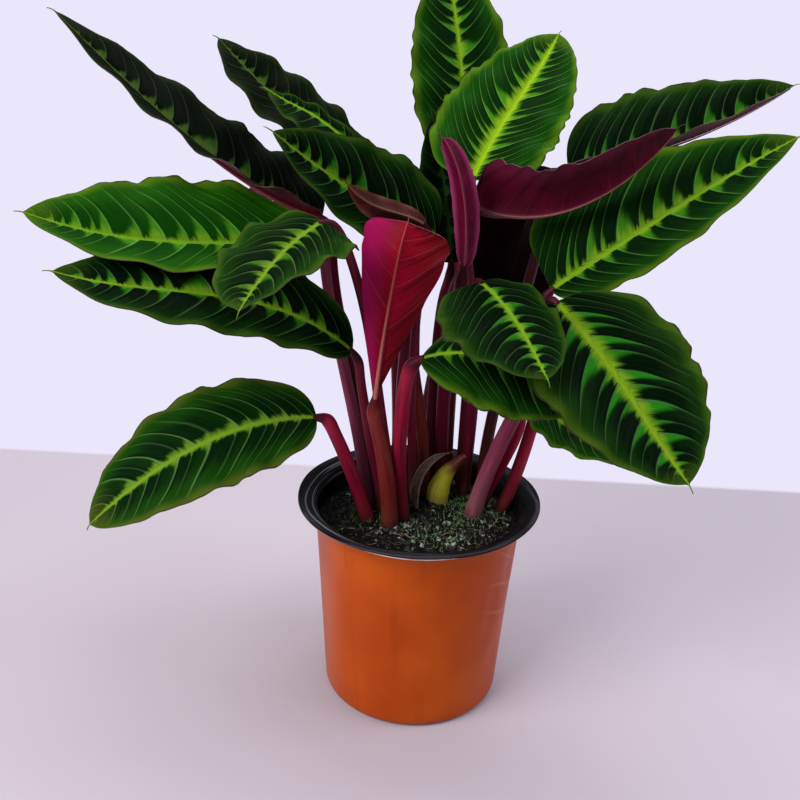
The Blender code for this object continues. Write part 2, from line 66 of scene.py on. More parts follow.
# Each blade: four places on its midrib from base to tip, the way that its upper side faces at
# the base and at the tip, its half widths right and left of the midrib, how far each half folds
# up (degrees), its edge wave (height, waves, phase), the powers by which its width grows from the
# base and shrinks to the tip (shape, and left_shape where the left half has its own), the number
# of side vein cells, and its finishes (upper side, underside).
BLADES = {
    "leaf_01": dict(midrib=((-77, 30, 358), (-136, 36, 384), (-197, 46, 428), (-260, 55, 484)),
                    face=((0.45, -0.25, 0.85), (0.55, -0.25, 0.8)), half=(51, 24), fold=(8, 66),
                    fold_tip=(8, 2), wave=(3, 5, 0.0), shape=(0.4, 0.8), cells=9, finish=("dusky", "ruby")),
    "leaf_02": dict(midrib=((-10, 62, 366), (-72, 71, 402), (-119, 80, 436), (-158, 96, 470)),
                    face=((0.4, -0.4, 0.8), (0.4, -0.5, 0.75)), half=(33, 33), fold=(8, 10),
                    wave=(3, 5, 0.2), shape=(0.85, 0.8), cells=9, finish=("dusky", "wine")),
    "leaf_03": dict(midrib=((-22, 45, 370), (-68, 47, 413), (-92, 47, 428), (-116, 47, 440)),
                    face=((0.4, -0.6, 0.7), (0.4, -0.6, 0.7)), half=(9, 22), fold=(8, 8), wave=(2, 4, 0.0),
                    shape=(0.5, 0.6), cells=6, finish=("deep", "wine")),
    "leaf_04": dict(midrib=((4, 38, 345), (-33, 22, 366), (-72, -2, 394), (-103, -26, 421)),
                    face=((0.35, -0.8, 0.5), (0.35, -0.8, 0.5)), half=(40, 32), fold=(8, 8),
                    wave=(3, 4, 0.0), shape=(0.4, 0.9), left_shape=(0.22, 0.85), cells=7,
                    finish=("deep", "wine")),
    "leaf_05": dict(midrib=((-5, 2, 361), (-22, -6, 369), (-40, -14, 376), (-56, -22, 390)),
                    face=((0.3, 0.8, -0.3), (0.3, 0.8, -0.3)), half=(12, 11), fold=(40, 40),
                    wave=(1.5, 3, 0.0), cells=5, finish=("deep", "brown")),
    "leaf_06": dict(midrib=((-83, 12, 346), (-144, -12, 346), (-200, -35, 353), (-254, -50, 369)),
                    face=((0.0, -0.65, 0.76), (0.0, -0.6, 0.8)), half=(52, 32), fold=(6, 16),
                    wave=(3, 4, 0.3), cells=8, finish=("bright", "wine")),
    "leaf_07": dict(midrib=((-52, -8, 273), (-110, -32, 311), (-171, -55, 325), (-230, -75, 339)),
                    face=((0.2, -0.55, 0.8), (0.1, -0.55, 0.8)), half=(44, 32), fold=(0, 6),
                    wave=(2.5, 5, 0.0), cells=8, finish=("deep", "wine")),
    "leaf_08": dict(midrib=((-72, -22, 365), (-91, -44, 353), (-104, -73, 340), (-113, -100, 327)),
                    face=((-0.2, -0.45, 0.87), (-0.2, -0.6, 0.8)), half=(35, 46), fold=(6, 6),
                    wave=(3.5, 4, 0.0), shape=(0.45, 0.55), left_shape=(0.16, 0.95), cells=6,
                    finish=("fresh", "wine")),
    "leaf_09": dict(midrib=((-75, -20, 227), (-125, -40, 225), (-173, -60, 205), (-221, -75, 166)),
                    face=((-0.25, -0.6, 0.78), (-0.25, -0.65, 0.72)), half=(42, 41), fold=(3, 3),
                    wave=(2, 5, 0.0), shape=(0.45, 0.6), cells=8, finish=("veined", "wine")),
    "leaf_10": dict(midrib=((-34, -20, 244), (-29, -25, 295), (-23, -26, 338), (-17, -20, 366)),
                    face=((0.1, 0.95, -0.2), (0.2, 0.95, 0.1)), half=(27, 31), fold=(8, 8),
                    wave=(1.5, 3, 0.0), shape=(0.9, 0.16), left_shape=(1.0, 0.2), cells=7,
                    finish=("deep", "crimson")),
    "leaf_11": dict(midrib=((20, 98, 386), (20, 111, 438), (13, 131, 488), (4, 150, 534)),
                    face=((0.1, -0.8, 0.55), (0.1, -0.8, 0.55)), half=(38, 39), fold=(8, 8),
                    wave=(3, 5, 0.0), cells=10, finish=("forest", "wine")),
    "leaf_12": dict(midrib=((27, 38, 387), (45, 62, 420), (67, 86, 451), (87, 110, 482)),
                    face=((-0.2, -0.75, 0.65), (-0.2, -0.75, 0.65)), half=(44, 46), fold=(5, 5),
                    wave=(2.5, 5, 0.0), shape=(0.32, 0.62), cells=10, finish=("young", "wine")),
    "leaf_13": dict(midrib=((16, 44, 326), (11, 56, 362), (5, 70, 395), (-2, 84, 424)),
                    face=((0.1, -0.8, 0.5), (0.1, -0.8, 0.5)), half=(20, 21), fold=(6, 6),
                    wave=(2, 3, 0.0), shape=(0.35, 0.8), cells=5, finish=("shade", "wine")),
    "leaf_14": dict(midrib=((23, 2, 333), (22, -4, 365), (16, -8, 395), (4, -10, 419)),
                    face=((0.2, 0.9, 0.1), (0.2, 0.9, 0.1)), half=(15, 11), fold=(45, 45),
                    wave=(0.5, 2, 0.0), shape=(0.3, 0.4), cells=6, finish=("deep", "magenta")),
    "leaf_15": dict(midrib=((25, 23, 373), (75, 5, 371), (116, -15, 395), (144, -35, 433)),
                    face=((-0.3, 0.85, 0.3), (-0.3, 0.85, 0.3)), half=(40, 20), fold=(0, 50),
                    wave=(1.5, 4, 0.0), shape=(0.14, 0.42), cells=7, finish=("deep", "wine")),
    "leaf_16": dict(midrib=((94, 50, 397), (147, 66, 405), (206, 84, 425), (260, 100, 454)),
                    face=((-0.2, -0.5, 0.85), (-0.2, -0.5, 0.85)), half=(17, 48), fold=(60, 25),
                    wave=(1.5, 4, 0.0), cells=8, finish=("deep", "ruby")),
    "leaf_17": dict(midrib=((85, 10, 318), (132, 0, 358), (178, -10, 396), (224, -20, 430)),
                    face=((-0.35, -0.7, 0.62), (-0.35, -0.7, 0.62)), half=(30, 60), fold=(6, 6),
                    wave=(2, 5, 0.0), shape=(0.5, 0.85), left_shape=(0.2, 0.85), cells=8,
                    finish=("forest", "wine")),
    "leaf_18": dict(midrib=((82, -32, 321), (112, -73, 293), (136, -105, 264), (155, -130, 241)),
                    face=((0.1, -0.6, 0.8), (0.1, -0.6, 0.8)), half=(54, 56), fold=(4, 4),
                    wave=(2.5, 5, 0.0), shape=(0.36, 0.75), cells=7, finish=("bold", "wine")),
    "leaf_19": dict(midrib=((33, -20, 329), (51, -55, 318), (62, -85, 306), (69, -110, 296)),
                    face=((0, -0.4, 0.9), (0, -0.4, 0.9)), half=(50, 27), fold=(4, 4), wave=(3, 4, 0.0),
                    shape=(0.4, 0.7), cells=6, finish=("deep", "wine")),
    "leaf_20": dict(midrib=((-4, -38, 280), (34, -54, 290), (68, -64, 281), (97, -74, 263)),
                    face=((0.0, -0.5, 0.85), (0.0, -0.5, 0.85)), half=(46, 34), fold=(6, 6),
                    wave=(2, 4, 0.0), shape=(0.7, 0.7), cells=7, finish=("forest", "wine")),
    "leaf_21": dict(midrib=((79, 6, 236), (99, -6, 226), (121, -20, 217), (145, -37, 209)),
                    face=((0.1, -0.3, 0.95), (0.1, -0.3, 0.95)), half=(30, 5), fold=(6, 6),
                    wave=(2, 4, 0.0), cells=6, finish=("young", "wine")),
    "leaf_22": dict(midrib=((-30, 100, 330), (-70, 140, 352), (-115, 180, 350), (-160, 215, 325)),
                    face=((0.2, 0.3, 0.9), (-0.3, 0.4, 0.85)), half=(42, 42), fold=(8, 8),
                    wave=(3, 5, 0.0), cells=8, finish=("bright", "wine")),
    # leaf_23 is made wide and turned to show its near-black shadow underside: a dark sheet filling the shade
    # between the leaves at the centre right.
    "leaf_23": dict(midrib=((63, 104, 283), (70, 110, 326), (80, 128, 354), (93, 160, 378)),
                    face=((0.1, 0.9, -0.3), (0.0, 0.5, 0.8)), half=(54, 50), fold=(8, 8), wave=(3, 5, 0.0),
                    shape=(0.35, 0.7), cells=8, finish=("dusky", "shadow")),
}

# Each leaf stalk: where its foot stands in the soil, two places on its way up, and its radii;
# its finish is in STALK_FINISHES.
STALKS = {
    "leaf_01": dict(foot=(-27, 20), way=((-50, 22, 230), (-66, 26, 305)), radii=(4.4, 3.2)),
    "leaf_02": dict(foot=(-4, 44), way=((-6, 50, 215), (-8, 60, 295)), radii=(4.4, 3.2)),
    "leaf_03": dict(foot=(4, 36), way=((-1, 33, 208), (-13, 36, 280)), radii=(4.8, 3.6)),
    "leaf_04": dict(foot=(-14, 30), way=((-16, 22, 215), (-12, 22, 290)), radii=(4.4, 3.4)),
    "leaf_05": dict(foot=(-2, 22), way=((-8, 14, 215), (-8, 4, 295)), radii=(3.6, 2.6)),
    "leaf_06": dict(foot=(-37, 10), way=((-50, 12, 215), (-66, 15, 285)), radii=(4.6, 3.4)),
    "leaf_07": dict(foot=(-24, 4), way=((-36, 2, 195), (-44, -2, 240)), radii=(4.3, 3.0)),
    "leaf_08": dict(foot=(-13, 12), way=((-30, 8, 215), (-42, -6, 295)), radii=(4.2, 3.0)),
    "leaf_09": dict(foot=(-34, -7), way=((-50, -11, 181), (-62, -17, 214)), radii=(5.2, 4.4)),
    "leaf_10": dict(foot=(-20, -14), way=((-25, -16, 185), (-31, -18, 216)), radii=(6.0, 5.2)),
    "leaf_11": dict(foot=(-2, 62), way=((8, 78, 225), (20, 92, 310)), radii=(4.6, 3.4)),
    "leaf_12": dict(foot=(24, 58), way=((22, 50, 225), (24, 42, 310)), radii=(4.6, 3.4)),
    "leaf_13": dict(foot=(8, 48), way=((8, 50, 210), (10, 55, 280)), radii=(4.2, 3.2)),
    "leaf_14": dict(foot=(22, 46), way=((16, 36, 215), (19, 14, 290)), radii=(5.0, 4.4)),
    "leaf_15": dict(foot=(36, 52), way=((34, 46, 215), (32, 34, 290)), radii=(4.6, 3.4)),
    "leaf_16": dict(foot=(50, 34), way=((56, 38, 225), (74, 44, 320)), radii=(4.6, 3.4)),
    "leaf_17": dict(foot=(61, 17), way=((78, 14, 197), (86, 12, 262)), radii=(4.8, 4.0)),
    "leaf_18": dict(foot=(40, 6), way=((60, -5, 215), (78, -22, 275)), radii=(6.0, 4.0)),
    "leaf_19": dict(foot=(36, 40), way=((38, 32, 222), (36, 4, 290)), radii=(4.6, 3.6)),
    "leaf_20": dict(foot=(-10, -3), way=((-16, -8, 188), (-15, -26, 242)), radii=(5.6, 4.6)),
    "leaf_21": dict(foot=(46, 20), way=((58, 16, 170), (70, 10, 205)), radii=(4.2, 3.2)),
    "leaf_22": dict(foot=(-18, 52), way=((-20, 72, 220), (-26, 90, 290)), radii=(4.6, 3.4)),
    "leaf_23": dict(foot=(10, 61), way=((20, 84, 214), (32, 102, 266)), radii=(4.6, 3.4)),
}
# The stalks that don't have the wine finish.
STALK_FINISHES = {
    "leaf_03": "russet", "leaf_06": "mauve", "leaf_09": "scarlet", "leaf_10": "russet",
    "leaf_12": "russet", "leaf_16": "shaded_umber", "leaf_17": "scarlet", "leaf_18": "mauve",
    "leaf_20": "scarlet", "leaf_21": "scarlet", "leaf_23": "shaded_umber",
}


# ---------------------------------------------------------------- shader maths

class Field:
    """A value in a finish's nodes, so that its sums read as plain maths."""

    def __init__(self, finish, socket):
        self.finish = finish
        self.socket = socket

    def maths(self, operation, *values):
        return self.finish.node("ShaderNodeMath", dict(operation=operation), dict(enumerate(values)))

    def __add__(self, other):
        return self.maths("ADD", self, other)

    def __radd__(self, other):
        return self.maths("ADD", other, self)

    def __sub__(self, other):
        return self.maths("SUBTRACT", self, other)

    def __rsub__(self, other):
        return self.maths("SUBTRACT", other, self)

    def __mul__(self, other):
        return self.maths("MULTIPLY", self, other)

    def __rmul__(self, other):
        return self.maths("MULTIPLY", other, self)

    def __truediv__(self, other):
        return self.maths("DIVIDE", self, other)

    def __pow__(self, other):
        return self.maths("POWER", self, other)

    def __neg__(self):
        return self.maths("MULTIPLY", self, -1.0)

    def size(self):
        return self.maths("ABSOLUTE", self)

    def part(self):
        return self.maths("FRACT", self)

    def sine(self):
        return self.maths("SINE", self)

    def least(self, other):
        return self.maths("MINIMUM", self, other)

    def most(self, other):
        return self.maths("MAXIMUM", self, other)

    def rise(self, low, high):
        """0 below low, 1 above high, and smooth between."""
        settings = dict(interpolation_type="SMOOTHSTEP")
        values = {"Value": self, "From Min": low, "From Max": high}
        return self.finish.node("ShaderNodeMapRange", settings, values)

    def mixed(self, other, share):
        return self * (1.0 - share) + other * share

    def line(self, at, width):
        """1 at a value, and 0 from width away on."""
        return 1.0 - (self - at).size().rise(0.0, width)


class Finish:
    """One material and its nodes."""

    def __init__(self, name, **constants):
        self.material = bpy.data.materials.new(name)
        self.material.use_nodes = True
        self.tree = self.material.node_tree
        self.shader = self.tree.nodes["Principled BSDF"]
        for socket, value in constants.items():
            self.shader.inputs[socket.replace("_", " ").title().replace("Ior", "IOR")].default_value = value

    def node(self, kind, settings=None, values=None, output=0):
        made = self.tree.nodes.new(kind)
        for key, value in (settings or {}).items():
            if key == "stops":
                self.set_stops(made.color_ramp, value)
            else:
                setattr(made, key, value)
        for key, value in (values or {}).items():
            self.feed(made.inputs[key], value)
        return Field(self, made.outputs[output])

    def set_stops(self, ramp, stops):
        while len(ramp.elements) < len(stops):
            ramp.elements.new(0.5)
        for element, (position, colour) in zip(ramp.elements, stops):
            element.position = position
            element.color = (*colour, 1.0)

    def feed(self, socket, value):
        if isinstance(value, Field):
            self.tree.links.new(value.socket, socket)
        elif socket.type == "RGBA" and len(value) == 3:
            socket.default_value = (*value, 1.0)
        else:
            socket.default_value = value

    def map(self, name):
        """The two numbers of a UV map."""
        uv = self.node("ShaderNodeUVMap", dict(uv_map=name))
        return self.split(uv)[:2]

    def split(self, vector):
        first = self.node("ShaderNodeSeparateXYZ", None, {0: vector})
        outputs = first.socket.node.outputs
        return [Field(self, outputs[index]) for index in range(3)]

    def place(self, scale=1.0):
        """Object coordinates, in metres times the scale."""
        coordinates = self.node("ShaderNodeTexCoord", None, None, "Object")
        return self.node("ShaderNodeVectorMath", dict(operation="SCALE"), {0: coordinates, "Scale": scale})

    def vector(self, x, y, z=0.0):
        return self.node("ShaderNodeCombineXYZ", None, {0: x, 1: y, 2: z})

    def noise(self, vector, scale=1.0, detail=2.0, roughness=0.5, distortion=0.0):
        values = {"Vector": vector, "Scale": scale, "Detail": detail, "Roughness": roughness,
                  "Distortion": distortion}
        return self.node("ShaderNodeTexNoise", None, values)

    def cracks(self, vector, scale):
        """How far the nearest of many scattered points is."""
        return self.node("ShaderNodeTexVoronoi", None, {"Vector": vector, "Scale": scale}, "Distance")

    def mix(self, first, second, share):
        return self.node("ShaderNodeMix", dict(data_type="RGBA"), {0: share, 6: first, 7: second}, 2)

    def ramp(self, share, stops):
        return self.node("ShaderNodeValToRGB", dict(stops=stops), {0: share})

    def colour(self, value):
        self.feed(self.shader.inputs["Base Color"], value)

    def roughness(self, value):
        self.feed(self.shader.inputs["Roughness"], value)

    def bump(self, height, strength, distance):
        values = {"Height": height, "Strength": strength, "Distance": distance}
        self.feed(self.shader.inputs["Normal"], self.node("ShaderNodeBump", None, values))


# ---------------------------------------------------------------- finishes

def upper_side(name, deep, mid, tooth, rib, vein, reach, centre, margin, blotch=0.9, vein_width=0.03,
               second=0.75):
    """The velvety upper side: a light midrib with feathered teeth along the side veins."""
    f = Finish(name, roughness=0.55, sheen_weight=0.005, sheen_roughness=0.45,
               sheen_tint=(0.55, 0.85, 0.5, 1.0), specular_ior_level=0.015)
    cell, across = f.map("veins")
    along, out = f.map("place")
    away = across.size()
    part, half_way = cell.part(), (cell + 0.48).part()
    streaks = f.noise(f.vector(cell * 7.0, across * 2.2), detail=3.0, roughness=0.6)
    hairs = f.noise(f.vector(cell * 34.0, across * 5.0), detail=2.0)
    patches = f.noise(f.place(26.0), detail=2.0)
    ragged = away + (streaks - 0.5) * 0.17 + (hairs - 0.5) * 0.09

    ends = along.rise(0.0, 0.16) * (1.0 - along.rise(0.8, 1.0))
    span = reach * (0.4 + 0.6 * ends) * (0.75 + patches * 0.5)
    left = (1.0 - ragged / span).most(0.0)
    wedge_end = 0.06 + 0.44 * left ** 1.25
    wedge = part.rise(0.02, 0.07) * (1.0 - (part - wedge_end).rise(-0.12, 0.05)) * left.rise(0.0, 0.08)
    small_left = (1.0 - ragged / (span * 0.6)).most(0.0)
    small_end = 0.05 + 0.30 * small_left ** 1.25
    small = half_way.rise(0.02, 0.07) * (1.0 - (half_way - small_end).rise(-0.1, 0.05))
    zone = 1.0 - ragged.rise(centre * 0.3, centre * 1.7)
    light = wedge.most(small * small_left.rise(0.0, 0.08) * 0.85).most(zone)

    fading = 1.0 - away.rise(0.7, 0.98)
    main_vein = part.line(0.05, vein_width) * fading
    second_vein = half_way.line(0.05, vein_width * 0.9) * away.rise(0.03, 0.16)
    second_vein = second_vein * (1.0 - away.rise(0.66, 0.93)) * second
    third_veins = ((cell * 4.0 + 0.1).part()).line(0.5, 0.13) * away.rise(0.2, 0.5) * fading * 0.06
    veins = main_vein.most(second_vein).most(third_veins)
    crease = ((cell + 0.53).part()).line(0.5, 0.055) * (1.0 - away.rise(0.5, 0.85)) * away.rise(0.02, 0.08)

    outward = (away + (streaks - 0.5) * 0.35 + (patches - 0.5) * 0.3).rise(0.45 * blotch, blotch)
    shade = (1.0 - outward) * (0.72 + 0.28 * part.rise(0.15, 0.55))
    base = f.mix(mid, deep, shade)
    base = f.mix(base, f.mix(mid, deep, 0.4), (hairs - 0.42).most(0.0) * 0.9)
    tooth_colour = f.mix(rib, tooth, ragged.rise(0.0, 0.19))
    tooth_colour = f.mix(tooth_colour, mid, (ragged / span).rise(0.5, 1.0) * 0.6)
    base = f.mix(base, tooth_colour, light * 0.95)
    # Painted shade: the groove of each crease is darkened towards the deep colour.
    base = f.mix(base, deep, crease * 0.9)
    # The vein colour is partly the veins' own paler tone and partly a painted highlight along the vein ridges.
    base = f.mix(base, vein, veins * (0.55 + 0.25 * light))
    edge = (away + (patches - 0.5) * 0.16).rise(0.78, 1.0)
    tip = (along + (streaks - 0.5) * 0.1).rise(0.86, 1.02)
    base = f.mix(base, margin, (edge * 0.7).most(tip * 0.6))
    narrow = 1.9 - along * 1.3
    midrib = 1.0 - (out / narrow).rise(0.25, 1.25)
    base = f.mix(base, tuple(min(1.0, channel * 1.1) for channel in rib), midrib * 0.8)
    base = f.mix(base, (0.03, 0.008, 0.010), away.rise(0.975, 0.99) * 0.75)
    f.colour(base)
    f.roughness(0.54 - veins * 0.1 - light * 0.05 + (patches - 0.5) * 0.14)
    height = veins * 0.6 - crease * 0.8 + hairs * 0.35 + streaks * 0.5 + midrib * 0.8
    f.bump(height, 0.6, 0.0006)
    return f.material


def under_side(name, deep, bright, vein, flush, one_side=0.0, gloss=0.08):
    """The red underside, with fine raised side veins."""
    f = Finish(name, roughness=0.4, sheen_weight=0.02, sheen_roughness=0.35,
               sheen_tint=(1.0, 0.4, 0.65, 1.0), specular_ior_level=gloss)
    cell, across = f.map("veins")
    along, out = f.map("place")
    away = across.size()
    part = cell.part()
    streaks = f.noise(f.vector(cell * 2.5, across * 1.6), detail=3.0, roughness=0.6)
    hairs = f.noise(f.vector(cell * 30.0, across * 5.0), detail=2.0)
    patches = f.noise(f.place(18.0), detail=2.0)
    main_vein = part.line(0.09, 0.06) * (1.0 - away.rise(0.8, 1.0))
    fine_veins = ((cell * 5.0).part()).line(0.5, 0.3) * 0.4
    hollow = ((cell + 0.3).part()).line(0.5, 0.45)
    base = f.mix(deep, bright, (streaks * 0.6 + patches * 0.8 - 0.2).rise(0.2, 0.8))
    # Painted shade: the hollows between the side veins are darkened.
    base = f.mix(base, deep, hollow * away.rise(0.15, 0.7) * 0.35)
    # With one_side the flush colour fills one half of the blade instead of the edges.
    flushed = away.rise(0.5, 1.0).mixed(across.rise(0.1, 0.85), one_side)
    base = f.mix(base, flush, flushed * 0.75)
    if one_side:
        # Painted shade: the other half is darkened where the leaf turns from the light, with painted shadows
        # in diagonal furrows.
        dark = tuple(channel * 0.45 for channel in deep)
        base = f.mix(base, dark, (across * -1.0).rise(0.2, 0.9) * 0.7)
        furrow_shadows = ((cell + streaks * 0.5 + 0.4).part()).line(0.5, 0.28) * (across * -1.0).rise(0.08, 0.4)
        base = f.mix(base, dark, furrow_shadows * 0.6)
    base = f.mix(base, vein, main_vein * 0.10 + fine_veins * 0.07)
    base = f.mix(base, vein, (1.0 - (out / (1.7 - along * 1.2)).rise(0.4, 1.3)) * 0.45)
    base = f.mix(base, deep, (hairs - 0.5).most(0.0) * 0.7)
    f.colour(base)
    f.roughness(0.42 + (patches - 0.5) * 0.15 + hairs * 0.08)
    f.bump(main_vein * 0.5 + fine_veins * 0.25 + hairs * 0.4 + streaks * 0.4, 0.4, 0.0006)
    return f.material


def leaf_rim(name, colour):
    f = Finish(name, roughness=0.5)
    grain = f.noise(f.place(160.0), detail=2.0)
    f.colour(f.mix(colour, tuple(channel * 0.5 for channel in colour), grain))
    return f.material


def raised_rib(name, low, high, gloss=0.3):
    f = Finish(name, roughness=0.4, specular_ior_level=gloss)
    along, around = f.map("veins")
    streaks = f.noise(f.vector(along * 6.0, around * 14.0), detail=2.0)
    plain = f.mix(low, high, along.rise(0.1, 0.8))
    dark = tuple(channel * 0.6 for channel in low)
    f.colour(f.mix(plain, dark, streaks.rise(0.45, 0.75) * 0.5))
    f.bump(streaks, 0.3, 0.0003)
    return f.material


def stalk_skin(name, foot, middle, top, streak, highlight_and_specks):
    """Satin stalk: lengthwise streaks, small pale specks, broad pale patches as a painted highlight, a pale
    foot and a dark joint below the blade.
    """
    f = Finish(name, roughness=0.36, coat_weight=0.015, coat_roughness=0.25, specular_ior_level=0.09)
    along, around = f.map("veins")
    lengthwise = f.noise(f.vector(along * 5.0, around * 26.0), detail=3.0, roughness=0.6)
    broad = f.noise(f.vector(along * 4.0, around * 4.0), detail=2.0)
    mottle = f.noise(f.place(120.0), detail=3.0)
    specks = f.cracks(f.place(1.0), 420.0)
    colour = f.mix(foot, middle, (along + (broad - 0.5) * 0.2).rise(0.02, 0.34))
    colour = f.mix(colour, top, (along + (mottle - 0.5) * 0.03).rise(0.87, 0.95))
    colour = f.mix(colour, streak, lengthwise.rise(0.5, 0.78) * (1.0 - along.rise(0.84, 0.93)) * 0.7)
    # Painted highlight: broad pale patches along the stalk.
    colour = f.mix(colour, highlight_and_specks, broad.rise(0.52, 0.75) * 0.35)
    # The same pale colour also marks the small specks.
    colour = f.mix(colour, highlight_and_specks, (1.0 - specks.rise(0.1, 0.22)) * mottle.rise(0.55, 0.7) * 0.5)
    x, y, z = f.split(f.place(1.0))
    soiled = 1.0 - (z + (mottle - 0.5) * 0.012).rise(0.139, 0.151)
    colour = f.mix(colour, (0.016, 0.009, 0.007), soiled * 0.8)
    edges = f.noise(f.vector(along * 3.0, around * 11.0), detail=1.0)
    colour = f.mix(colour, top, edges.rise(0.5, 0.72) * 0.55)
    f.colour(colour)
    f.roughness(0.34 + lengthwise * 0.16 + soiled * 0.3)
    f.bump(lengthwise * 0.8 + mottle * 0.3, 0.4, 0.0005)
    return f.material


def peat_finish(name, dark, light, warm):
    f = Finish(name, roughness=0.9, specular_ior_level=0.12)
    spot = f.place(1.0)
    clods = f.noise(spot, scale=120.0, detail=6.0, roughness=0.7)
    grit = f.cracks(spot, 650.0)
    patches = f.noise(spot, scale=38.0, detail=2.0)
    colour = f.mix(dark, light, clods.rise(0.42, 0.72))
    colour = f.mix(colour, warm, patches.rise(0.5, 0.75) * 0.6)
    colour = f.mix(colour, dark, (1.0 - grit.rise(0.1, 0.5)) * 0.6)
    f.colour(colour)
    f.roughness(0.95 - clods * 0.35)
    f.bump(clods + grit * 0.5, 0.9, 0.0012)
    return f.material


def speck_finish(name, light, dark, scale, roughness=0.85):
    f = Finish(name, roughness=roughness)
    grain = f.noise(f.place(1.0), scale=scale, detail=4.0, roughness=0.65)
    f.colour(f.mix(dark, light, grain.rise(0.35, 0.62)))
    f.roughness(roughness - grain * 0.1)
    f.bump(grain, 0.7, 0.0005)
    return f.material


def pot_outside():
    """Thin moulded orange plastic: soft gloss, faint rings, streaks and scuffs, with painted shade on the
    right side and painted highlights on the left edge and crease ridges.
    """
    f = Finish("pot_orange", roughness=0.4, coat_weight=0.02, coat_roughness=0.25, specular_ior_level=0.11)
    spot = f.place(1.0)
    x, y, z = f.split(spot)
    cloud = f.noise(spot, scale=14.0, detail=3.0)
    fine = f.noise(spot, scale=420.0, detail=2.0)
    upright = f.noise(f.vector(x * 60.0, y * 60.0, z * 7.0), detail=3.0, roughness=0.6)
    rings = (z * 2400.0 + cloud * 3.0).sine()
    scuffs = f.noise(f.vector(x * 45.0, y * 45.0, z * 210.0), detail=4.0, roughness=0.7)
    colour = f.mix((0.40, 0.052, 0.001), (0.50, 0.080, 0.002), cloud.rise(0.35, 0.7))
    colour = f.mix(colour, (0.25, 0.025, 0.002), upright.rise(0.5, 0.75) * 0.35)
    colour = f.mix(colour, (0.50, 0.13, 0.05), scuffs.rise(0.66, 0.8) * 0.28)
    colour = f.mix(colour, (0.30, 0.05, 0.02), (1.0 - z.rise(0.0, 0.012)) * 0.45)
    slanted = f.vector(x * 12.0 + z * 10.0, y * 9.0, z * 34.0 + y * 26.0)
    crease_lines = f.noise(slanted, detail=0.5, roughness=0.4)
    creased = x.rise(0.045, 0.062) * z.rise(0.05, 0.08) * (1.0 - z.rise(0.135, 0.15))
    ridges = crease_lines.line(0.5, 0.035) * creased
    # Painted highlight: pale lines along the crease ridges on the right side.
    colour = f.mix(colour, (0.60, 0.24, 0.16), ridges * 0.4)
    # Painted shade: the right side is darker.
    colour = f.mix(colour, (0.34, 0.045, 0.02), x.rise(0.03, 0.07) * 0.45)
    # Painted highlight: a paler pink left edge.
    colour = f.mix(colour, (0.52, 0.13, 0.065), (1.0 - x.rise(-0.066, -0.048)) * 0.5)
    f.colour(colour)
    f.roughness(0.3 + scuffs * 0.12 + (upright - 0.5) * 0.1)
    f.bump(rings * 0.04 + upright * 0.5 + cloud * 0.6 + fine * 0.12 + ridges * 0.8, 0.25, 0.0012)
    return f.material


def pot_inside():
    """The black inner layer and lip: rubbed grey along the edge, pale streaks on the left side of the lip as a
    painted highlight, and soil smears inside.
    """
    f = Finish("pot_black", roughness=0.34, specular_ior_level=0.05)
    spot = f.place(1.0)
    x, y, z = f.split(spot)
    smears = f.noise(f.vector(x * 30.0, y * 30.0, z * 160.0), detail=4.0, roughness=0.65)
    dust = f.noise(spot, scale=190.0, detail=4.0, roughness=0.7)
    around = f.noise(f.vector(x * 14.0, y * 14.0, z * 900.0), detail=2.0)
    colour = f.mix((0.003, 0.003, 0.004), (0.015, 0.014, 0.018), smears.rise(0.5, 0.78))
    colour = f.mix(colour, (0.10, 0.085, 0.075), dust.rise(0.62, 0.74) * (1.0 - z.rise(0.140, 0.152)) * 0.6)
    rubbed = z.rise(0.1575, 0.1597)
    colour = f.mix(colour, (0.06, 0.057, 0.066), rubbed * around.rise(0.4, 0.65) * 0.7)
    # Painted highlight: pale streaks on the left side of the lip, where the light falls.
    streaks = f.noise(f.vector(x * 9.0, y * 9.0, z * 1500.0), detail=3.0)
    lit_side = (1.0 - x.rise(-0.075, -0.03)) * z.rise(0.150, 0.154)
    colour = f.mix(colour, (0.30, 0.28, 0.31), streaks.rise(0.52, 0.64) * lit_side * 0.85)
    f.colour(colour)
    f.roughness(0.28 + smears * 0.25)
    f.bump(around * 0.5 + smears * 0.4 + dust * 0.3, 0.35, 0.0008)
    return f.material


def pot_seam_highlight():
    # A lighter plastic edge, painted silver-white all round as a highlight along the lip's lower edge.
    f = Finish("pot_edge", roughness=0.25, coat_weight=0.4, coat_roughness=0.1)
    gleam = f.noise(f.place(60.0), detail=3.0)
    f.colour(f.mix((0.45, 0.40, 0.40), (0.86, 0.80, 0.80), gleam.rise(0.35, 0.6)))
    return f.material


def shoot_skin():
    f = Finish("shoot_skin", roughness=0.4, coat_weight=0.04, coat_roughness=0.3, specular_ior_level=0.2)
    along, around = f.map("veins")
    lines = f.noise(f.vector(along * 3.0, around * 30.0), detail=3.0)
    broad = f.noise(f.place(90.0), detail=2.0)
    colour = f.mix((0.52, 0.50, 0.035), (0.33, 0.30, 0.015), lines.rise(0.4, 0.7) * 0.7)
    colour = f.mix(colour, (0.16, 0.035, 0.02), (along + (broad - 0.5) * 0.25).rise(0.6, 0.8))
    colour = f.mix(colour, (0.30, 0.20, 0.09), (1.0 - along.rise(0.2, 0.34)) * 0.6)
    f.colour(colour)
    f.bump(lines, 0.4, 0.0006)
    return f.material


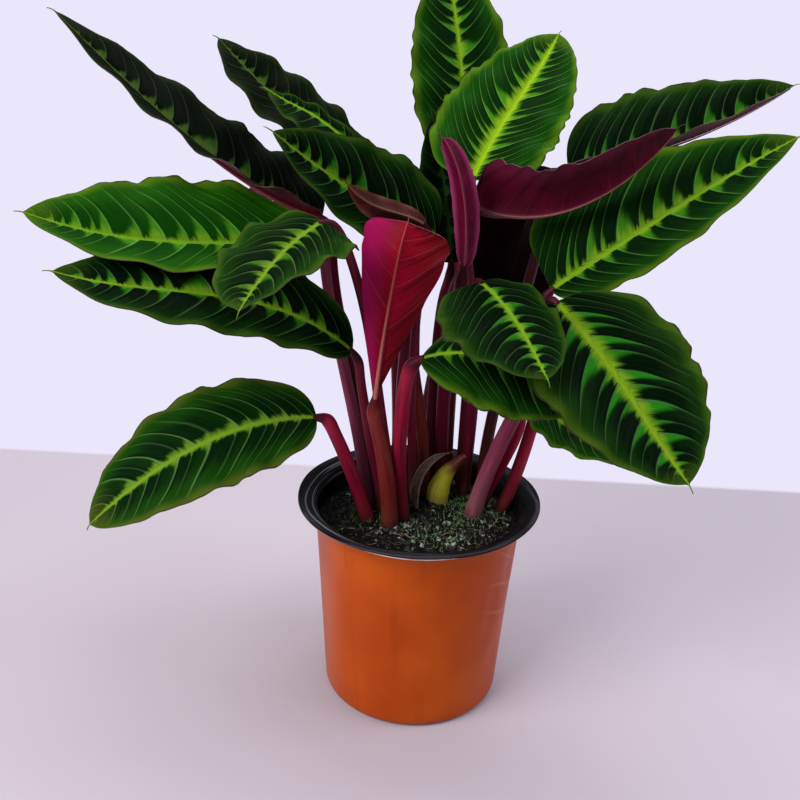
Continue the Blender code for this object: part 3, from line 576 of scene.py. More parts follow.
def dry_skin():
    f = Finish("dry_skin", roughness=0.7)
    cell, across = f.map("veins")
    lines = f.noise(f.vector(across * 12.0, cell * 2.0), detail=4.0, roughness=0.65)
    stains = f.noise(f.place(110.0), detail=3.0)
    colour = f.mix((0.075, 0.035, 0.022), (0.24, 0.16, 0.12), lines.rise(0.4, 0.7))
    colour = f.mix(colour, (0.025, 0.012, 0.010), stains.rise(0.5, 0.7) * 0.8)
    # Painted highlight: pale grey along the sheath's edges.
    colour = f.mix(colour, (0.33, 0.30, 0.28), across.size().rise(0.78, 0.98) * 0.7)
    f.colour(colour)
    f.bump(lines, 0.6, 0.0008)
    return f.material


UPPER = {
    "young": upper_side("leaf_upper_young", deep=(0.0012, 0.017, 0.0006), mid=(0.0052, 0.054, 0.0020),
                        tooth=(0.045, 0.20, 0.006), rib=(0.26, 0.44, 0.010), vein=(0.17, 0.33, 0.06),
                        reach=0.50, centre=0.10, margin=(0.10, 0.22, 0.008), blotch=0.8),
    "fresh": upper_side("leaf_upper_fresh", deep=(0.0010, 0.0075, 0.0010), mid=(0.007, 0.034, 0.002),
                        tooth=(0.035, 0.13, 0.006), rib=(0.15, 0.27, 0.014), vein=(0.12, 0.22, 0.05),
                        reach=0.50, centre=0.045, margin=(0.05, 0.11, 0.010), blotch=0.85),
    "bright": upper_side("leaf_upper_bright", deep=(0.0022, 0.034, 0.0006), mid=(0.008, 0.068, 0.0015),
                         tooth=(0.035, 0.17, 0.006), rib=(0.15, 0.31, 0.012), vein=(0.12, 0.27, 0.05),
                         reach=0.46, centre=0.04, margin=(0.085, 0.17, 0.008), blotch=0.8),
    "forest": upper_side("leaf_upper_forest", deep=(0.0006, 0.0100, 0.0010), mid=(0.0045, 0.042, 0.0015),
                         tooth=(0.035, 0.17, 0.006), rib=(0.17, 0.33, 0.012), vein=(0.11, 0.25, 0.045),
                         reach=0.50, centre=0.05, margin=(0.085, 0.17, 0.008), blotch=0.9),
    "shade": upper_side("leaf_upper_shade", deep=(0.0004, 0.0024, 0.0004), mid=(0.0022, 0.011, 0.0010),
                        tooth=(0.005, 0.026, 0.003), rib=(0.010, 0.028, 0.004), vein=(0.010, 0.024, 0.008),
                        reach=0.34, centre=0.025, margin=(0.010, 0.026, 0.004), blotch=1.1),
    "bold": upper_side("leaf_upper_bold", deep=(0.0003, 0.0040, 0.0008), mid=(0.0050, 0.030, 0.0016),
                       tooth=(0.014, 0.155, 0.006), rib=(0.17, 0.29, 0.010), vein=(0.060, 0.12, 0.045),
                       reach=0.66, centre=0.09, margin=(0.050, 0.105, 0.006), blotch=0.95, vein_width=0.036,
                       second=0.55),
    "veined": upper_side("leaf_upper_veined", deep=(0.0006, 0.0110, 0.0014), mid=(0.0070, 0.050, 0.0018),
                         tooth=(0.055, 0.17, 0.010), rib=(0.16, 0.30, 0.016), vein=(0.12, 0.24, 0.065),
                         reach=0.27, centre=0.075, margin=(0.085, 0.115, 0.012), blotch=0.85, vein_width=0.05,
                         second=0.35),
    "deep": upper_side("leaf_upper_deep", deep=(0.0004, 0.0038, 0.0005), mid=(0.0034, 0.026, 0.0014),
                       tooth=(0.016, 0.125, 0.005), rib=(0.15, 0.30, 0.012), vein=(0.075, 0.16, 0.045),
                       reach=0.48, centre=0.045, margin=(0.036, 0.085, 0.006), blotch=1.0),
    "dusky": upper_side("leaf_upper_dusky", deep=(0.0005, 0.0016, 0.0004), mid=(0.0028, 0.009, 0.0012),
                        tooth=(0.016, 0.055, 0.006), rib=(0.060, 0.10, 0.014), vein=(0.034, 0.060, 0.022),
                        reach=0.36, centre=0.03, margin=(0.016, 0.030, 0.006), blotch=1.1),
}
UNDER = {
    "wine": under_side("leaf_under_wine", deep=(0.026, 0.001, 0.004), bright=(0.105, 0.003, 0.020),
                       vein=(0.20, 0.030, 0.05), flush=(0.13, 0.012, 0.04)),
    "crimson": under_side("leaf_under_crimson", deep=(0.11, 0.0004, 0.003), bright=(0.27, 0.0010, 0.016),
                          vein=(0.50, 0.09, 0.08), flush=(0.38, 0.004, 0.10), one_side=1.0, gloss=0.05),
    "magenta": under_side("leaf_under_magenta", deep=(0.07, 0.001, 0.013), bright=(0.23, 0.006, 0.06),
                          vein=(0.30, 0.05, 0.10), flush=(0.34, 0.05, 0.14)),
    # ruby is darkened into painted shade for the underside strip of leaf_01, which lies in shadow; leaf_16
    # shares it.
    "ruby": under_side("leaf_under_ruby", deep=(0.022, 0.0003, 0.001), bright=(0.075, 0.0006, 0.004),
                       vein=(0.09, 0.008, 0.012), flush=(0.065, 0.001, 0.006), gloss=0.02),
    "shadow": under_side("leaf_under_shadow", deep=(0.003, 0.0005, 0.0008), bright=(0.010, 0.0008, 0.002),
                         vein=(0.012, 0.002, 0.003), flush=(0.008, 0.001, 0.002), gloss=0.02),
    "brown": under_side("leaf_under_brown", deep=(0.028, 0.003, 0.004), bright=(0.095, 0.016, 0.013),
                        vein=(0.20, 0.10, 0.05), flush=(0.11, 0.04, 0.024)),
}
RIM = {
    "wine": leaf_rim("leaf_rim_purple", (0.05, 0.012, 0.018)),
    "crimson": leaf_rim("leaf_rim_pink", (0.34, 0.16, 0.16)),
    "magenta": leaf_rim("leaf_rim_rose", (0.26, 0.13, 0.10)),
    "ruby": leaf_rim("leaf_rim_ruby", (0.05, 0.012, 0.012)),
    "shadow": leaf_rim("leaf_rim_dark", (0.010, 0.004, 0.004)),
    "brown": leaf_rim("leaf_rim_tan", (0.22, 0.15, 0.08)),
}
RIB = {
    "wine": raised_rib("rib_wine", (0.16, 0.03, 0.04), (0.20, 0.06, 0.05)),
    "crimson": raised_rib("rib_salmon", (0.46, 0.13, 0.10), (0.36, 0.03, 0.04)),
    "magenta": raised_rib("rib_rose", (0.22, 0.03, 0.06), (0.24, 0.04, 0.07)),
    "ruby": raised_rib("rib_ruby", (0.16, 0.02, 0.03), (0.18, 0.03, 0.04)),
    "shadow": raised_rib("rib_dark", (0.006, 0.002, 0.002), (0.006, 0.002, 0.002), gloss=0.02),
    "brown": raised_rib("rib_tan", (0.20, 0.09, 0.05), (0.16, 0.05, 0.03)),
}
STALK = {
    # Painted shade: a near-black brown for the stalks of leaf_16 and leaf_23 in the dark centre of the plant.
    "shaded_umber": stalk_skin("stalk_shaded_umber", foot=(0.06, 0.017, 0.012), middle=(0.034, 0.005, 0.006),
                        top=(0.006, 0.0015, 0.0015), streak=(0.014, 0.003, 0.003),
                        highlight_and_specks=(0.045, 0.010, 0.011)),
    "wine": stalk_skin("stalk_wine", foot=(0.09, 0.025, 0.018), middle=(0.135, 0.007, 0.026),
                       top=(0.045, 0.004, 0.010), streak=(0.065, 0.004, 0.012), highlight_and_specks=(0.24, 0.030, 0.065)),
    "russet": stalk_skin("stalk_russet", foot=(0.14, 0.035, 0.018), middle=(0.17, 0.018, 0.014),
                         top=(0.09, 0.006, 0.010), streak=(0.085, 0.009, 0.008), highlight_and_specks=(0.28, 0.070, 0.05)),
    "scarlet": stalk_skin("stalk_scarlet", foot=(0.13, 0.022, 0.018), middle=(0.29, 0.008, 0.036),
                          top=(0.055, 0.005, 0.012), streak=(0.13, 0.004, 0.016), highlight_and_specks=(0.42, 0.045, 0.09)),
    "mauve": stalk_skin("stalk_mauve", foot=(0.24, 0.085, 0.10), middle=(0.22, 0.034, 0.075),
                        top=(0.07, 0.008, 0.018), streak=(0.10, 0.010, 0.030), highlight_and_specks=(0.38, 0.16, 0.21)),
}


# ---------------------------------------------------------------- shaping tools

def take(name, materials):
    """Names the piece that was just added, and gives it its materials."""
    made = bpy.context.object
    made.name = name
    made.data.name = name
    made.data.materials.clear()
    for material in materials:
        made.data.materials.append(material)
    return made


def only(piece):
    bpy.ops.object.select_all(action="DESELECT")
    piece.select_set(True)
    bpy.context.view_layer.objects.active = piece


def soften(piece, angle=40.0):
    only(piece)
    bpy.ops.object.shade_smooth_by_angle(angle=math.radians(angle))


def sheet_piece(name, rows, columns, place, maps, materials):
    """A grid laid out by place(length share, width share) in mm, with its UV maps from maps(...)."""
    bpy.ops.object.select_all(action="DESELECT")
    bpy.ops.mesh.primitive_grid_add(x_subdivisions=rows, y_subdivisions=columns, size=2.0)
    piece = take(name, materials)
    mesh = piece.data
    flat = np.empty(len(mesh.vertices) * 3)
    mesh.vertices.foreach_get("co", flat)
    flat = flat.reshape(-1, 3)
    length, width = (flat[:, 0] + 1) / 2, (flat[:, 1] + 1) / 2
    mesh.vertices.foreach_set("co", (place(length, width) * MM).ravel())
    corners = np.empty(len(mesh.loops), dtype=int)
    mesh.loops.foreach_get("vertex_index", corners)
    for layer in list(mesh.uv_layers):
        mesh.uv_layers.remove(layer)
    for label, (first, second) in maps(length, width).items():
        layer = mesh.uv_layers.new(name=label)
        pairs = np.stack([first[corners], second[corners]], 1).astype(np.float32)
        layer.uv.foreach_set("vector", pairs.ravel())
    mesh.update()
    return piece


def close_tube(piece, reach=0.00002):
    """Joins a rolled-up grid along its seam and at its poles, and caps its ends."""
    only(piece)
    bpy.ops.object.mode_set(mode="EDIT")
    bpy.ops.mesh.select_all(action="SELECT")
    bpy.ops.mesh.remove_doubles(threshold=reach)
    bpy.ops.mesh.select_all(action="SELECT")
    bpy.ops.mesh.fill_holes(sides=0)
    bpy.ops.mesh.select_all(action="SELECT")
    bpy.ops.mesh.normals_make_consistent(inside=False)
    bpy.ops.object.mode_set(mode="OBJECT")


def join(pieces, name):
    bpy.ops.object.select_all(action="DESELECT")
    for piece in pieces:
        piece.select_set(True)
    bpy.context.view_layer.objects.active = pieces[0]
    bpy.ops.object.join()
    pieces[0].name = name
    return pieces[0]


def unit(vectors):
    return vectors / np.linalg.norm(vectors, axis=-1)[..., None]


def smooth_curve(places, steps):
    """Points and slopes of the cubic through four places, from the first to the last."""
    knots = (0.0, 1 / 3, 2 / 3, 1.0)
    places = np.array(places, dtype=float)
    points = np.zeros((len(steps), 3))
    slopes = np.zeros((len(steps), 3))
    for index, knot in enumerate(knots):
        a, b, c = [other for other in knots if other != knot]
        scale = (knot - a) * (knot - b) * (knot - c)
        share = (steps - a) * (steps - b) * (steps - c) / scale
        change = ((steps - b) * (steps - c) + (steps - a) * (steps - c) + (steps - a) * (steps - b)) / scale
        points += share[:, None] * places[index]
        slopes += change[:, None] * places[index]
    return points, slopes


def tube_place(points, radii, flatten=None):
    """place() for a tube through points, turned as little as possible along its way."""
    points = np.array(points, dtype=float)
    tangents = unit(np.gradient(points, axis=0))
    side = np.cross(tangents[0], (0.0, 1.0, 0.0))
    sides = []
    for tangent in tangents:
        side = side - np.dot(side, tangent) * tangent
        side = side / np.linalg.norm(side)
        sides.append(side)
    sides = np.array(sides)
    ups = np.cross(tangents, sides)
    shares = np.linspace(0, 1, len(points))

    def place(length, width):
        turn = 2 * math.pi * width
        size = np.interp(length, shares, radii)
        if flatten is not None:
            size = size * flatten(length, turn)
        centre = np.stack([np.interp(length, shares, points[:, axis]) for axis in range(3)], 1)
        across = np.stack([np.interp(length, shares, sides[:, axis]) for axis in range(3)], 1)
        upward = np.stack([np.interp(length, shares, ups[:, axis]) for axis in range(3)], 1)
        return centre + (across * np.cos(turn)[:, None] + upward * np.sin(turn)[:, None]) * size[:, None]

    return place


def tube_piece(name, points, radii, sides, rows, materials, flatten=None):
    maps = lambda length, width: {"veins": (length, width)}
    piece = sheet_piece(name, rows, sides, tube_place(points, radii, flatten), maps, materials)
    close_tube(piece)
    return piece


# ---------------------------------------------------------------- leaves

BLADE_ROWS = 132
BLADE_COLUMNS = 44
WHISKER_SHARE = 0.035
WHISKER_LENGTH = 6.0


def vein_cells(spec, steps, across, share, seed):
    """Which side vein cell each place on the blade is in: the veins sweep towards the tip."""
    length = np.linalg.norm(np.array(spec["midrib"][3]) - np.array(spec["midrib"][0]))
    half = np.where(across >= 0, spec["half"][0], spec["half"][1])
    reach = np.abs(across) * half * (0.08 + 0.92 * np.clip(share, 0, 1))
    swept = steps - (0.42 * reach + 0.62 * reach * np.abs(across)) / length
    cells = spec["cells"] * (swept + 0.045 * np.sin(2 * math.pi * swept))
    cells = cells + 0.09 * np.sin(cells * 2.1 + seed) + 0.06 * np.sin(cells * 4.7 + 2.0 * seed)
    return cells + np.where(across >= 0, 0.0, 0.42)


def width_share(steps, base_power, tip_power):
    """A blade's width along its length, as a share of its widest."""
    widest = base_power / (base_power + tip_power)
    most = widest ** base_power * (1 - widest) ** tip_power
    return steps ** base_power * (1 - steps) ** tip_power / most


def blade_surface(spec, seed):
    """place() of a blade: the waved shape, puckered between the side veins, with a drip tip."""
    right_shape = spec.get("shape", BLADE_SHAPE)
    left_shape = spec.get("left_shape", right_shape)
    fold_base = np.radians(np.array(spec["fold"], dtype=float))
    fold_tip = np.radians(np.array(spec.get("fold_tip", spec["fold"]), dtype=float))
    face_base, face_tip = (np.array(face, dtype=float) for face in spec["face"])
    height, waves, phase = spec["wave"]

    def frame_at(steps):
        centres, slopes = smooth_curve(spec["midrib"], steps)
        along = unit(slopes)
        up = face_base + (face_tip - face_base) * steps[:, None]
        up = unit(up - (up * along).sum(axis=1)[:, None] * along)
        return centres, along, up, np.cross(along, up)

    def place(length, width):
        across = 1 - 2 * width
        steps = np.clip(length / (1 - WHISKER_SHARE), 0, 1)
        beyond = np.clip((length - (1 - WHISKER_SHARE)) / WHISKER_SHARE, 0, 1)
        centres, along, up, right = frame_at(steps)
        side = np.where(across >= 0, 0, 1)
        share = np.where(side == 0, width_share(steps, *right_shape), width_share(steps, *left_shape))
        half = np.array(spec["half"], dtype=float)[side]
        fold = fold_base[side] + (fold_tip - fold_base)[side] * steps ** FOLD_EASE
        least = np.where(steps < 0.5, BASE_HALF_WIDTH, 0.42 * (1 - 0.75 * beyond))
        size = np.abs(across)
        cells = vein_cells(spec, steps, across, share, seed)
        part = cells - np.floor(cells)
        scallop = 1 + 0.022 * np.sin(2 * math.pi * (part - 0.2)) * np.clip(share, 0, 1)
        reach = np.maximum(half * share * scallop, least) * size
        ripple = height * across ** 2 * share * np.sin(2 * math.pi * (waves * steps + phase + 0.5 * side))
        plump = np.clip(share, 0, 1) * (half / 45.0)
        pucker = 0.75 * plump * np.clip(size * 2.2, 0, 1) * (np.sin(math.pi * part) ** 0.8 - 0.6)
        pucker = pucker + 0.16 * plump * np.sin(6 * math.pi * part) * np.clip(size * 2, 0, 1)
        arch = 0.055 * half * share * np.sin(math.pi * np.clip(size, 0, 1) ** 0.8)
        groove = -0.9 * plump * np.exp(-(reach / 2.4) ** 2)
        tilt = np.sin(fold)
        sideways = reach * np.cos(fold) * (1 - 2 * side)
        lift = reach * tilt + ripple + pucker + arch + groove
        lift = lift - 2.5 * beyond ** 2
        return (centres + right * sideways[:, None] + up * lift[:, None]
                + along * (beyond * WHISKER_LENGTH)[:, None])

    def maps(length, width):
        across = 1 - 2 * width
        steps = np.clip(length / (1 - WHISKER_SHARE), 0, 1)
        share = np.where(across >= 0, width_share(steps, *right_shape), width_share(steps, *left_shape))
        half = np.where(across >= 0, spec["half"][0], spec["half"][1])
        cells = vein_cells(spec, steps, across, share, seed) + 20.0 * seed
        return {"veins": (cells, across), "place": (steps, np.abs(across) * half * share)}

    return place, maps, frame_at


def add_blade(leaf, spec, seed):
    upper, under = spec["finish"]
    place, maps, frame_at = blade_surface(spec, seed)
    finishes = [UPPER[upper], UNDER[under], RIM[under], RIB[under]]
    blade = sheet_piece(f"{leaf}_lamina", BLADE_ROWS, BLADE_COLUMNS, place, maps, finishes)
    shell = blade.modifiers.new("Thickness", "SOLIDIFY")
    shell.thickness = LEAF_THICKNESS * MM
    shell.offset = 0.0
    shell.material_offset = 1
    shell.material_offset_rim = 2
    only(blade)
    bpy.ops.object.modifier_apply(modifier=shell.name)
    soften(blade, 50.0)
    steps = np.linspace(0.0, 0.985, 60)
    centres, along, up, right = frame_at(steps)
    scale = min(1.0, max(spec["half"]) / 40.0 + 0.15)
    radii = (0.22 + 1.45 * (1 - steps) ** 1.6) * scale
    depth = radii * 0.85 + 0.6 + 0.5 * np.sin(math.pi * steps)
    rib = tube_piece("rib", centres - up * depth[:, None], radii, 10, 60, [RIB[under]])
    soften(rib, 60.0)
    rib.data.uv_layers.new(name="place")
    for face in rib.data.polygons:
        face.material_index = 0
    blade = join([blade, rib], f"{leaf}_lamina")
    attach(blade, "root")
    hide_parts(f"{leaf}_blade")


def add_stalk(leaf, spec, blade_spec):
    base, slope = smooth_curve(blade_spec["midrib"], np.array([0.0]))
    along = unit(slope)[0]
    joint = base[0] - along * JOINT_LENGTH
    foot = (*spec["foot"], STALK_FOOT_HEIGHT)
    steps = np.linspace(0, 1, 56)
    way, _ = smooth_curve([foot, *spec["way"], joint], steps)
    last = np.array([joint + along * (JOINT_LENGTH + 2.5) * share for share in (0.2, 0.4, 0.6, 0.8, 1.0)])
    points = np.concatenate([way, last])
    low, high = spec["radii"]
    radii = np.concatenate([low + (high - low) * steps, np.linspace(high, STALK_TIP_RADIUS * 0.8, 6)[1:]])
    travelled = np.concatenate([[0.0], np.cumsum(np.linalg.norm(np.diff(points, axis=0), axis=1))])
    to_end = travelled[-1] - travelled
    radii = radii * (1 + 0.10 * np.exp(-((to_end - 13.0) / 6.0) ** 2))
    radii = radii * (1 + 0.10 * np.exp(-(travelled - 8.0) ** 2 / 200.0))
    even = np.linspace(0, travelled[-1], 90)
    points = np.stack([np.interp(even, travelled, points[:, axis]) for axis in range(3)], 1)
    radii = np.interp(even, travelled, radii)
    for _ in range(26):
        points[1:-1] = (points[:-2] + 2 * points[1:-1] + points[2:]) / 4
    turned = random.uniform(0.0, 6.28)

    def ridged(length, turn):
        fade = np.clip((0.78 - length) / 0.1, 0, 1)
        wings = np.exp(-(np.angle(np.exp(1j * (turn - 1.2 - turned))) / 0.16) ** 2)
        wings = wings + np.exp(-(np.angle(np.exp(1j * (turn + 1.0 - turned))) / 0.16) ** 2)
        return 1 + 0.10 * wings * fade + 0.018 * np.sin(5 * turn) + 0.02 * np.sin(17 * length + turn)

    skin = STALK[STALK_FINISHES.get(leaf, "wine")]
    stalk = tube_piece(f"{leaf}_stalk", points, radii, 28, 80, [skin], ridged)
    soften(stalk, 60.0)
    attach(stalk, "root")
    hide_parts(f"{leaf}_petiole")


# ---------------------------------------------------------------- pot

def wall_radius(height):
    body_height = POT_HEIGHT - FLARE_DEPTH
    return BODY_BOTTOM_RADIUS + (BODY_TOP_RADIUS - BODY_BOTTOM_RADIUS) * height / body_height


def arc(centre_radius, centre_height, size, start, end, count):
    angles = [math.radians(start + (end - start) * index / (count - 1)) for index in range(count)]
    return [(centre_radius + size * math.cos(a), centre_height + size * math.sin(a)) for a in angles]


def wall_run(start, end, count, inward=0.0):
    heights = [start + (end - start) * index / (count - 1) for index in range(count)]
    return [(wall_radius(height) - inward, height) for height in heights]


def turned_piece(name, profile, sides, materials, dents=None):
    """A turned shape from its profile (radius, height), with optional dents in it."""
    radii = np.array([point[0] for point in profile])
    heights = np.array([point[1] for point in profile])
    shares = np.linspace(0, 1, len(profile))

    def place(length, width):
        turn = -2 * math.pi * width
        radius = np.interp(length, shares, radii)
        height = np.interp(length, shares, heights)
        if dents is not None:
            radius, height = dents(radius, height, turn)
        return np.stack([radius * np.cos(turn), radius * np.sin(turn), height], 1)

    maps = lambda length, width: {"veins": (length, width)}
    piece = sheet_piece(name, len(profile) - 1, sides, place, maps, materials)
    close_tube(piece)
    return piece


def pot_dents(radius, height, turn):
    """Shallow kinks on the right side of the thin wall, and a slightly wavy rim."""
    on_wall = np.clip(height / 12.0, 0, 1) * np.clip((150.0 - height) / 8.0, 0, 1) * (radius > 55.0)
    push = np.zeros_like(radius)
    for angle, level, depth, wide, tall in ((-25, 118, 1.1, 0.13, 20), (-40, 92, 0.9, 0.10, 26),
                                            (-14, 70, 1.0, 0.12, 30), (-30, 45, 0.8, 0.16, 18),
                                            (-158, 80, 0.5, 0.20, 40), (95, 70, 0.6, 0.3, 40)):
        apart = np.angle(np.exp(1j * (turn - math.radians(angle)))) / wide
        push = push + depth * np.exp(-apart ** 2) * np.exp(-((height - level) / tall) ** 2)
    radius = radius - push * on_wall
    rim = np.clip((height - 150.0) / 10.0, 0, 1)
    height = height + rim * (0.35 * np.sin(3 * turn + 0.6) + 0.25 * np.sin(7 * turn))
    radius = radius + rim * 0.35 * np.sin(5 * turn + 1.0)
    return radius, height


def add_pot():
    body_top = POT_HEIGHT - FLARE_DEPTH
    corner = wall_radius(FLOOR_THICKNESS + BOTTOM_ROUND / 2) - WALL - BOTTOM_ROUND / 2
    inside = [(radius, FLOOR_THICKNESS) for radius in (0.0, 20.0, 44.0, corner)]
    inside += arc(corner, FLOOR_THICKNESS + BOTTOM_ROUND / 2, BOTTOM_ROUND / 2, -70, 0, 4)
    inside += wall_run(12.0, body_top, 24, WALL)
    for out, up in ((0.2, 1.6), (0.8, 3.0), (1.9, 4.6), (3.6, 6.2), (5.6, 7.3), (8.0, 8.2),
                    (10.4, 8.9), (12.4, 9.5)):
        inside.append((BODY_TOP_RADIUS - WALL + out, body_top + up))
    lip = arc(RIM_RADIUS - 1.15, POT_HEIGHT - 1.3, 1.15, 130, -110, 12)
    below = [(BODY_TOP_RADIUS + out, body_top + up - 0.4)
             for out, up in ((11.2, 7.5), (9.0, 6.3), (6.4, 5.1), (4.0, 3.8), (2.2, 2.2), (1.1, 0.9))]
    outside = [(BODY_TOP_RADIUS + 0.5, body_top - 0.6), (BODY_TOP_RADIUS + 0.35, body_top - 2.0)]
    outside += wall_run(body_top - 3.4, 8.0, 40)
    outside += arc(BODY_BOTTOM_RADIUS - BOTTOM_ROUND + 0.35, BOTTOM_ROUND, BOTTOM_ROUND, 0, -90, 9)
    outside += [(52.0, 0.0), (30.0, 0.0), (0.0, 0.0)]
    profile = inside + lip + below + outside
    pot = turned_piece("nursery_pot", profile, 160, [pot_outside(), pot_inside(), pot_seam_highlight()], pot_dents)
    only(pot)
    bpy.ops.object.mode_set(mode="EDIT")
    bpy.ops.mesh.select_all(action="SELECT")
    bpy.ops.mesh.normals_make_consistent(inside=False)
    bpy.ops.object.mode_set(mode="OBJECT")
    for face in pot.data.polygons:
        centre = face.center / MM
        radius = math.hypot(centre.x, centre.y)
        faces_in = face.normal.x * centre.x + face.normal.y * centre.y <= 0.0
        inner = centre.z > 1.3 and faces_in and radius < 77.5
        black = inner or centre.z > body_top + 0.2 or (radius < 62 and centre.z > 1.0)
        face.material_index = 1 if black else 0
        # The ring below the lip gets the silver-white edge, partly a painted highlight.
        if -1.0 < centre.z - body_top < 0.6 and radius > BODY_TOP_RADIUS - 0.6 and not inner:
            face.material_index = 2
    for index in range(DRAIN_COUNT):
        angle = 2 * math.pi * index / DRAIN_COUNT
        bpy.ops.object.select_all(action="DESELECT")
        spot = (DRAIN_RING * MM * math.cos(angle), DRAIN_RING * MM * math.sin(angle), 0.0)
        bpy.ops.mesh.primitive_cylinder_add(vertices=24, radius=DRAIN_RADIUS * MM, depth=20 * MM,
                                            location=spot)
        drill = bpy.context.object
        hole = pot.modifiers.new("Hole", "BOOLEAN")
        hole.object = drill
        hole.solver = "EXACT"
        only(pot)
        bpy.ops.object.modifier_apply(modifier=hole.name)
        bpy.data.objects.remove(drill)
    soften(pot, 35.0)
    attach(pot, "root")
    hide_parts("pot")


# ---------------------------------------------------------------- soil

def soil_height(x, y):
    """The peat's surface: clods and hollows, a little higher in the middle."""
    spot = Vector((x, y, 0.0))
    broad = noise.noise(spot * 0.045) * 2.6
    clods = noise.noise(spot * 0.16 + Vector((7.0, 1.0, 0.0))) * 1.7
    crumbs = noise.noise(spot * 0.45 + Vector((2.0, 9.0, 0.0))) * 0.8
    radius = math.hypot(x, y)
    return SOIL_LEVEL + 1.0 - 1.6 * (radius / 74.0) ** 2 + broad + clods + crumbs


def add_soil():
    top = 74.2
    rows, sides = 74, 200
    under = [(wall_radius(h) - WALL - 0.3, h) for h in (136, 120, 90, 60, 30, 10)] + [(60, 3.2), (0.0, 3.0)]

    def place(length, width):
        turn = 2 * math.pi * width
        step = length * (rows + len(under))
        radius = np.interp(step, [0, rows, *range(rows + 1, rows + 1 + len(under))],
                           [0.0, top, *[point[0] for point in under]])
        depth = np.interp(step, [rows, *range(rows + 1, rows + 1 + len(under))],
                          [140.0, *[point[1] for point in under]])
        x, y = radius * np.cos(turn), radius * np.sin(turn)
        z = np.array([soil_height(px, py) for px, py in zip(x, y)])
        return np.stack([x, y, np.where(step <= rows + 0.01, z, depth)], 1)

    maps = lambda length, width: {"veins": (length, width)}
    peat = peat_finish("peat_dark", (0.0020, 0.0019, 0.0018), (0.017, 0.015, 0.013), (0.012, 0.009, 0.006))
    soil = sheet_piece("peat_bed", rows + len(under), sides, place, maps, [peat])
    close_tube(soil)
    soften(soil, 70.0)
    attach(soil, "root")
    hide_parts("soil")


def lump(name, material, roughen, squash, detail=1):
    """One crumb, 1 mm in radius, roughened by noise."""
    bpy.ops.object.select_all(action="DESELECT")
    bpy.ops.mesh.primitive_ico_sphere_add(subdivisions=detail, radius=1.0)
    made = take(name, [material])
    for vertex in made.data.vertices:
        swell = 1 + roughen * noise.noise(vertex.co * 1.7 + Vector((len(name), 3.0, 5.0)))
        vertex.co = Vector((vertex.co.x * swell, vertex.co.y * swell * 0.85, vertex.co.z * swell * squash))
    return made


def scatter(name, patterns, spots):
    """Copies of the patterns, one at each spot: (x, y, z, size, turn, lean), joined in one piece."""
    copies = []
    for index, (x, y, z, size, turn, lean) in enumerate(spots):
        pattern = patterns[index % len(patterns)]
        copy = pattern.copy()
        copy.data = pattern.data.copy()
        bpy.context.collection.objects.link(copy)
        place = Matrix.Translation(Vector((x, y, z)) * MM)
        turn_it = Matrix.Rotation(turn, 4, "Z") @ Matrix.Rotation(lean, 4, "X")
        copy.data.transform(place @ turn_it @ Matrix.Scale(size * MM, 4))
        copies.append(copy)
    piece = join(copies, name)
    piece.data.name = name
    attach(piece, "root")
    for pattern in patterns:
        bpy.data.objects.remove(pattern)
    return piece


def spread(count, low, high, sink, reach=71.0, where=None):
    """Random spots on the soil."""
    spots = []
    while len(spots) < count:
        angle = random.uniform(0, 2 * math.pi)
        radius = reach * math.sqrt(random.random())
        x, y = radius * math.cos(angle), radius * math.sin(angle)
        if where is not None and random.random() > where(x, y):
            continue
        size = low + (high - low) * random.random() ** 2
        z = soil_height(x, y) - size * sink
        spots.append((x, y, z, size, random.uniform(0, 6.28), random.uniform(-0.6, 0.6)))
    return spots


def moss_share(x, y):
    near_shoot = math.exp(-(((x - 40) / 17) ** 2 + ((y - 18) / 22) ** 2))
    front = 0.16 * math.exp(-(((x - 16) / 26) ** 2 + ((y + 34) / 22) ** 2))
    left = 0.3 * math.exp(-(((x + 38) / 18) ** 2 + ((y - 4) / 16) ** 2))
    back = 0.4 * math.exp(-(((x + 10) / 34) ** 2 + ((y - 52) / 14) ** 2))
    return min(1.0, near_shoot + front + left + back)


def fleck_share(x, y):
    front = 0.9 * math.exp(-(((x - 14) / 34) ** 2 + ((y + 26) / 20) ** 2))
    right = 0.7 * math.exp(-(((x - 40) / 16) ** 2 + ((y - 6) / 16) ** 2))
    return min(1.0, front + right + 0.12)


def moss_leaf(name, material):
    """One small upright moss leaf: a narrow curved cone."""
    bpy.ops.object.select_all(action="DESELECT")
    bpy.ops.mesh.primitive_cone_add(vertices=4, radius1=0.32, radius2=0.03, depth=2.4, location=(0, 0, 1.0))
    made = take(name, [material])
    bpy.ops.object.transform_apply(location=True, rotation=False, scale=False)
    only(made)
    bpy.ops.object.mode_set(mode="EDIT")
    bpy.ops.mesh.select_all(action="SELECT")
    bpy.ops.mesh.subdivide(number_cuts=1)
    bpy.ops.object.mode_set(mode="OBJECT")
    for vertex in made.data.vertices:
        vertex.co.x += 0.16 * vertex.co.z ** 2
    return made


def fibre(name, material, bend):
    """One thin root or bark fibre, 10 units long."""
    steps = np.linspace(0, 1, 9)
    sway = 1.6 * np.sin(bend * steps * 3)
    lift = 0.9 * np.sin(2.2 * steps + bend)
    points = np.stack([10 * (steps - 0.5), sway, lift], 1)
    radii = 0.22 * np.sin(math.pi * np.clip(steps, 0.06, 0.94)) + 0.05
    made = tube_piece(name, points, radii, 5, 8, [material])
    made.data.transform(Matrix.Scale(1 / MM, 4))
    return made


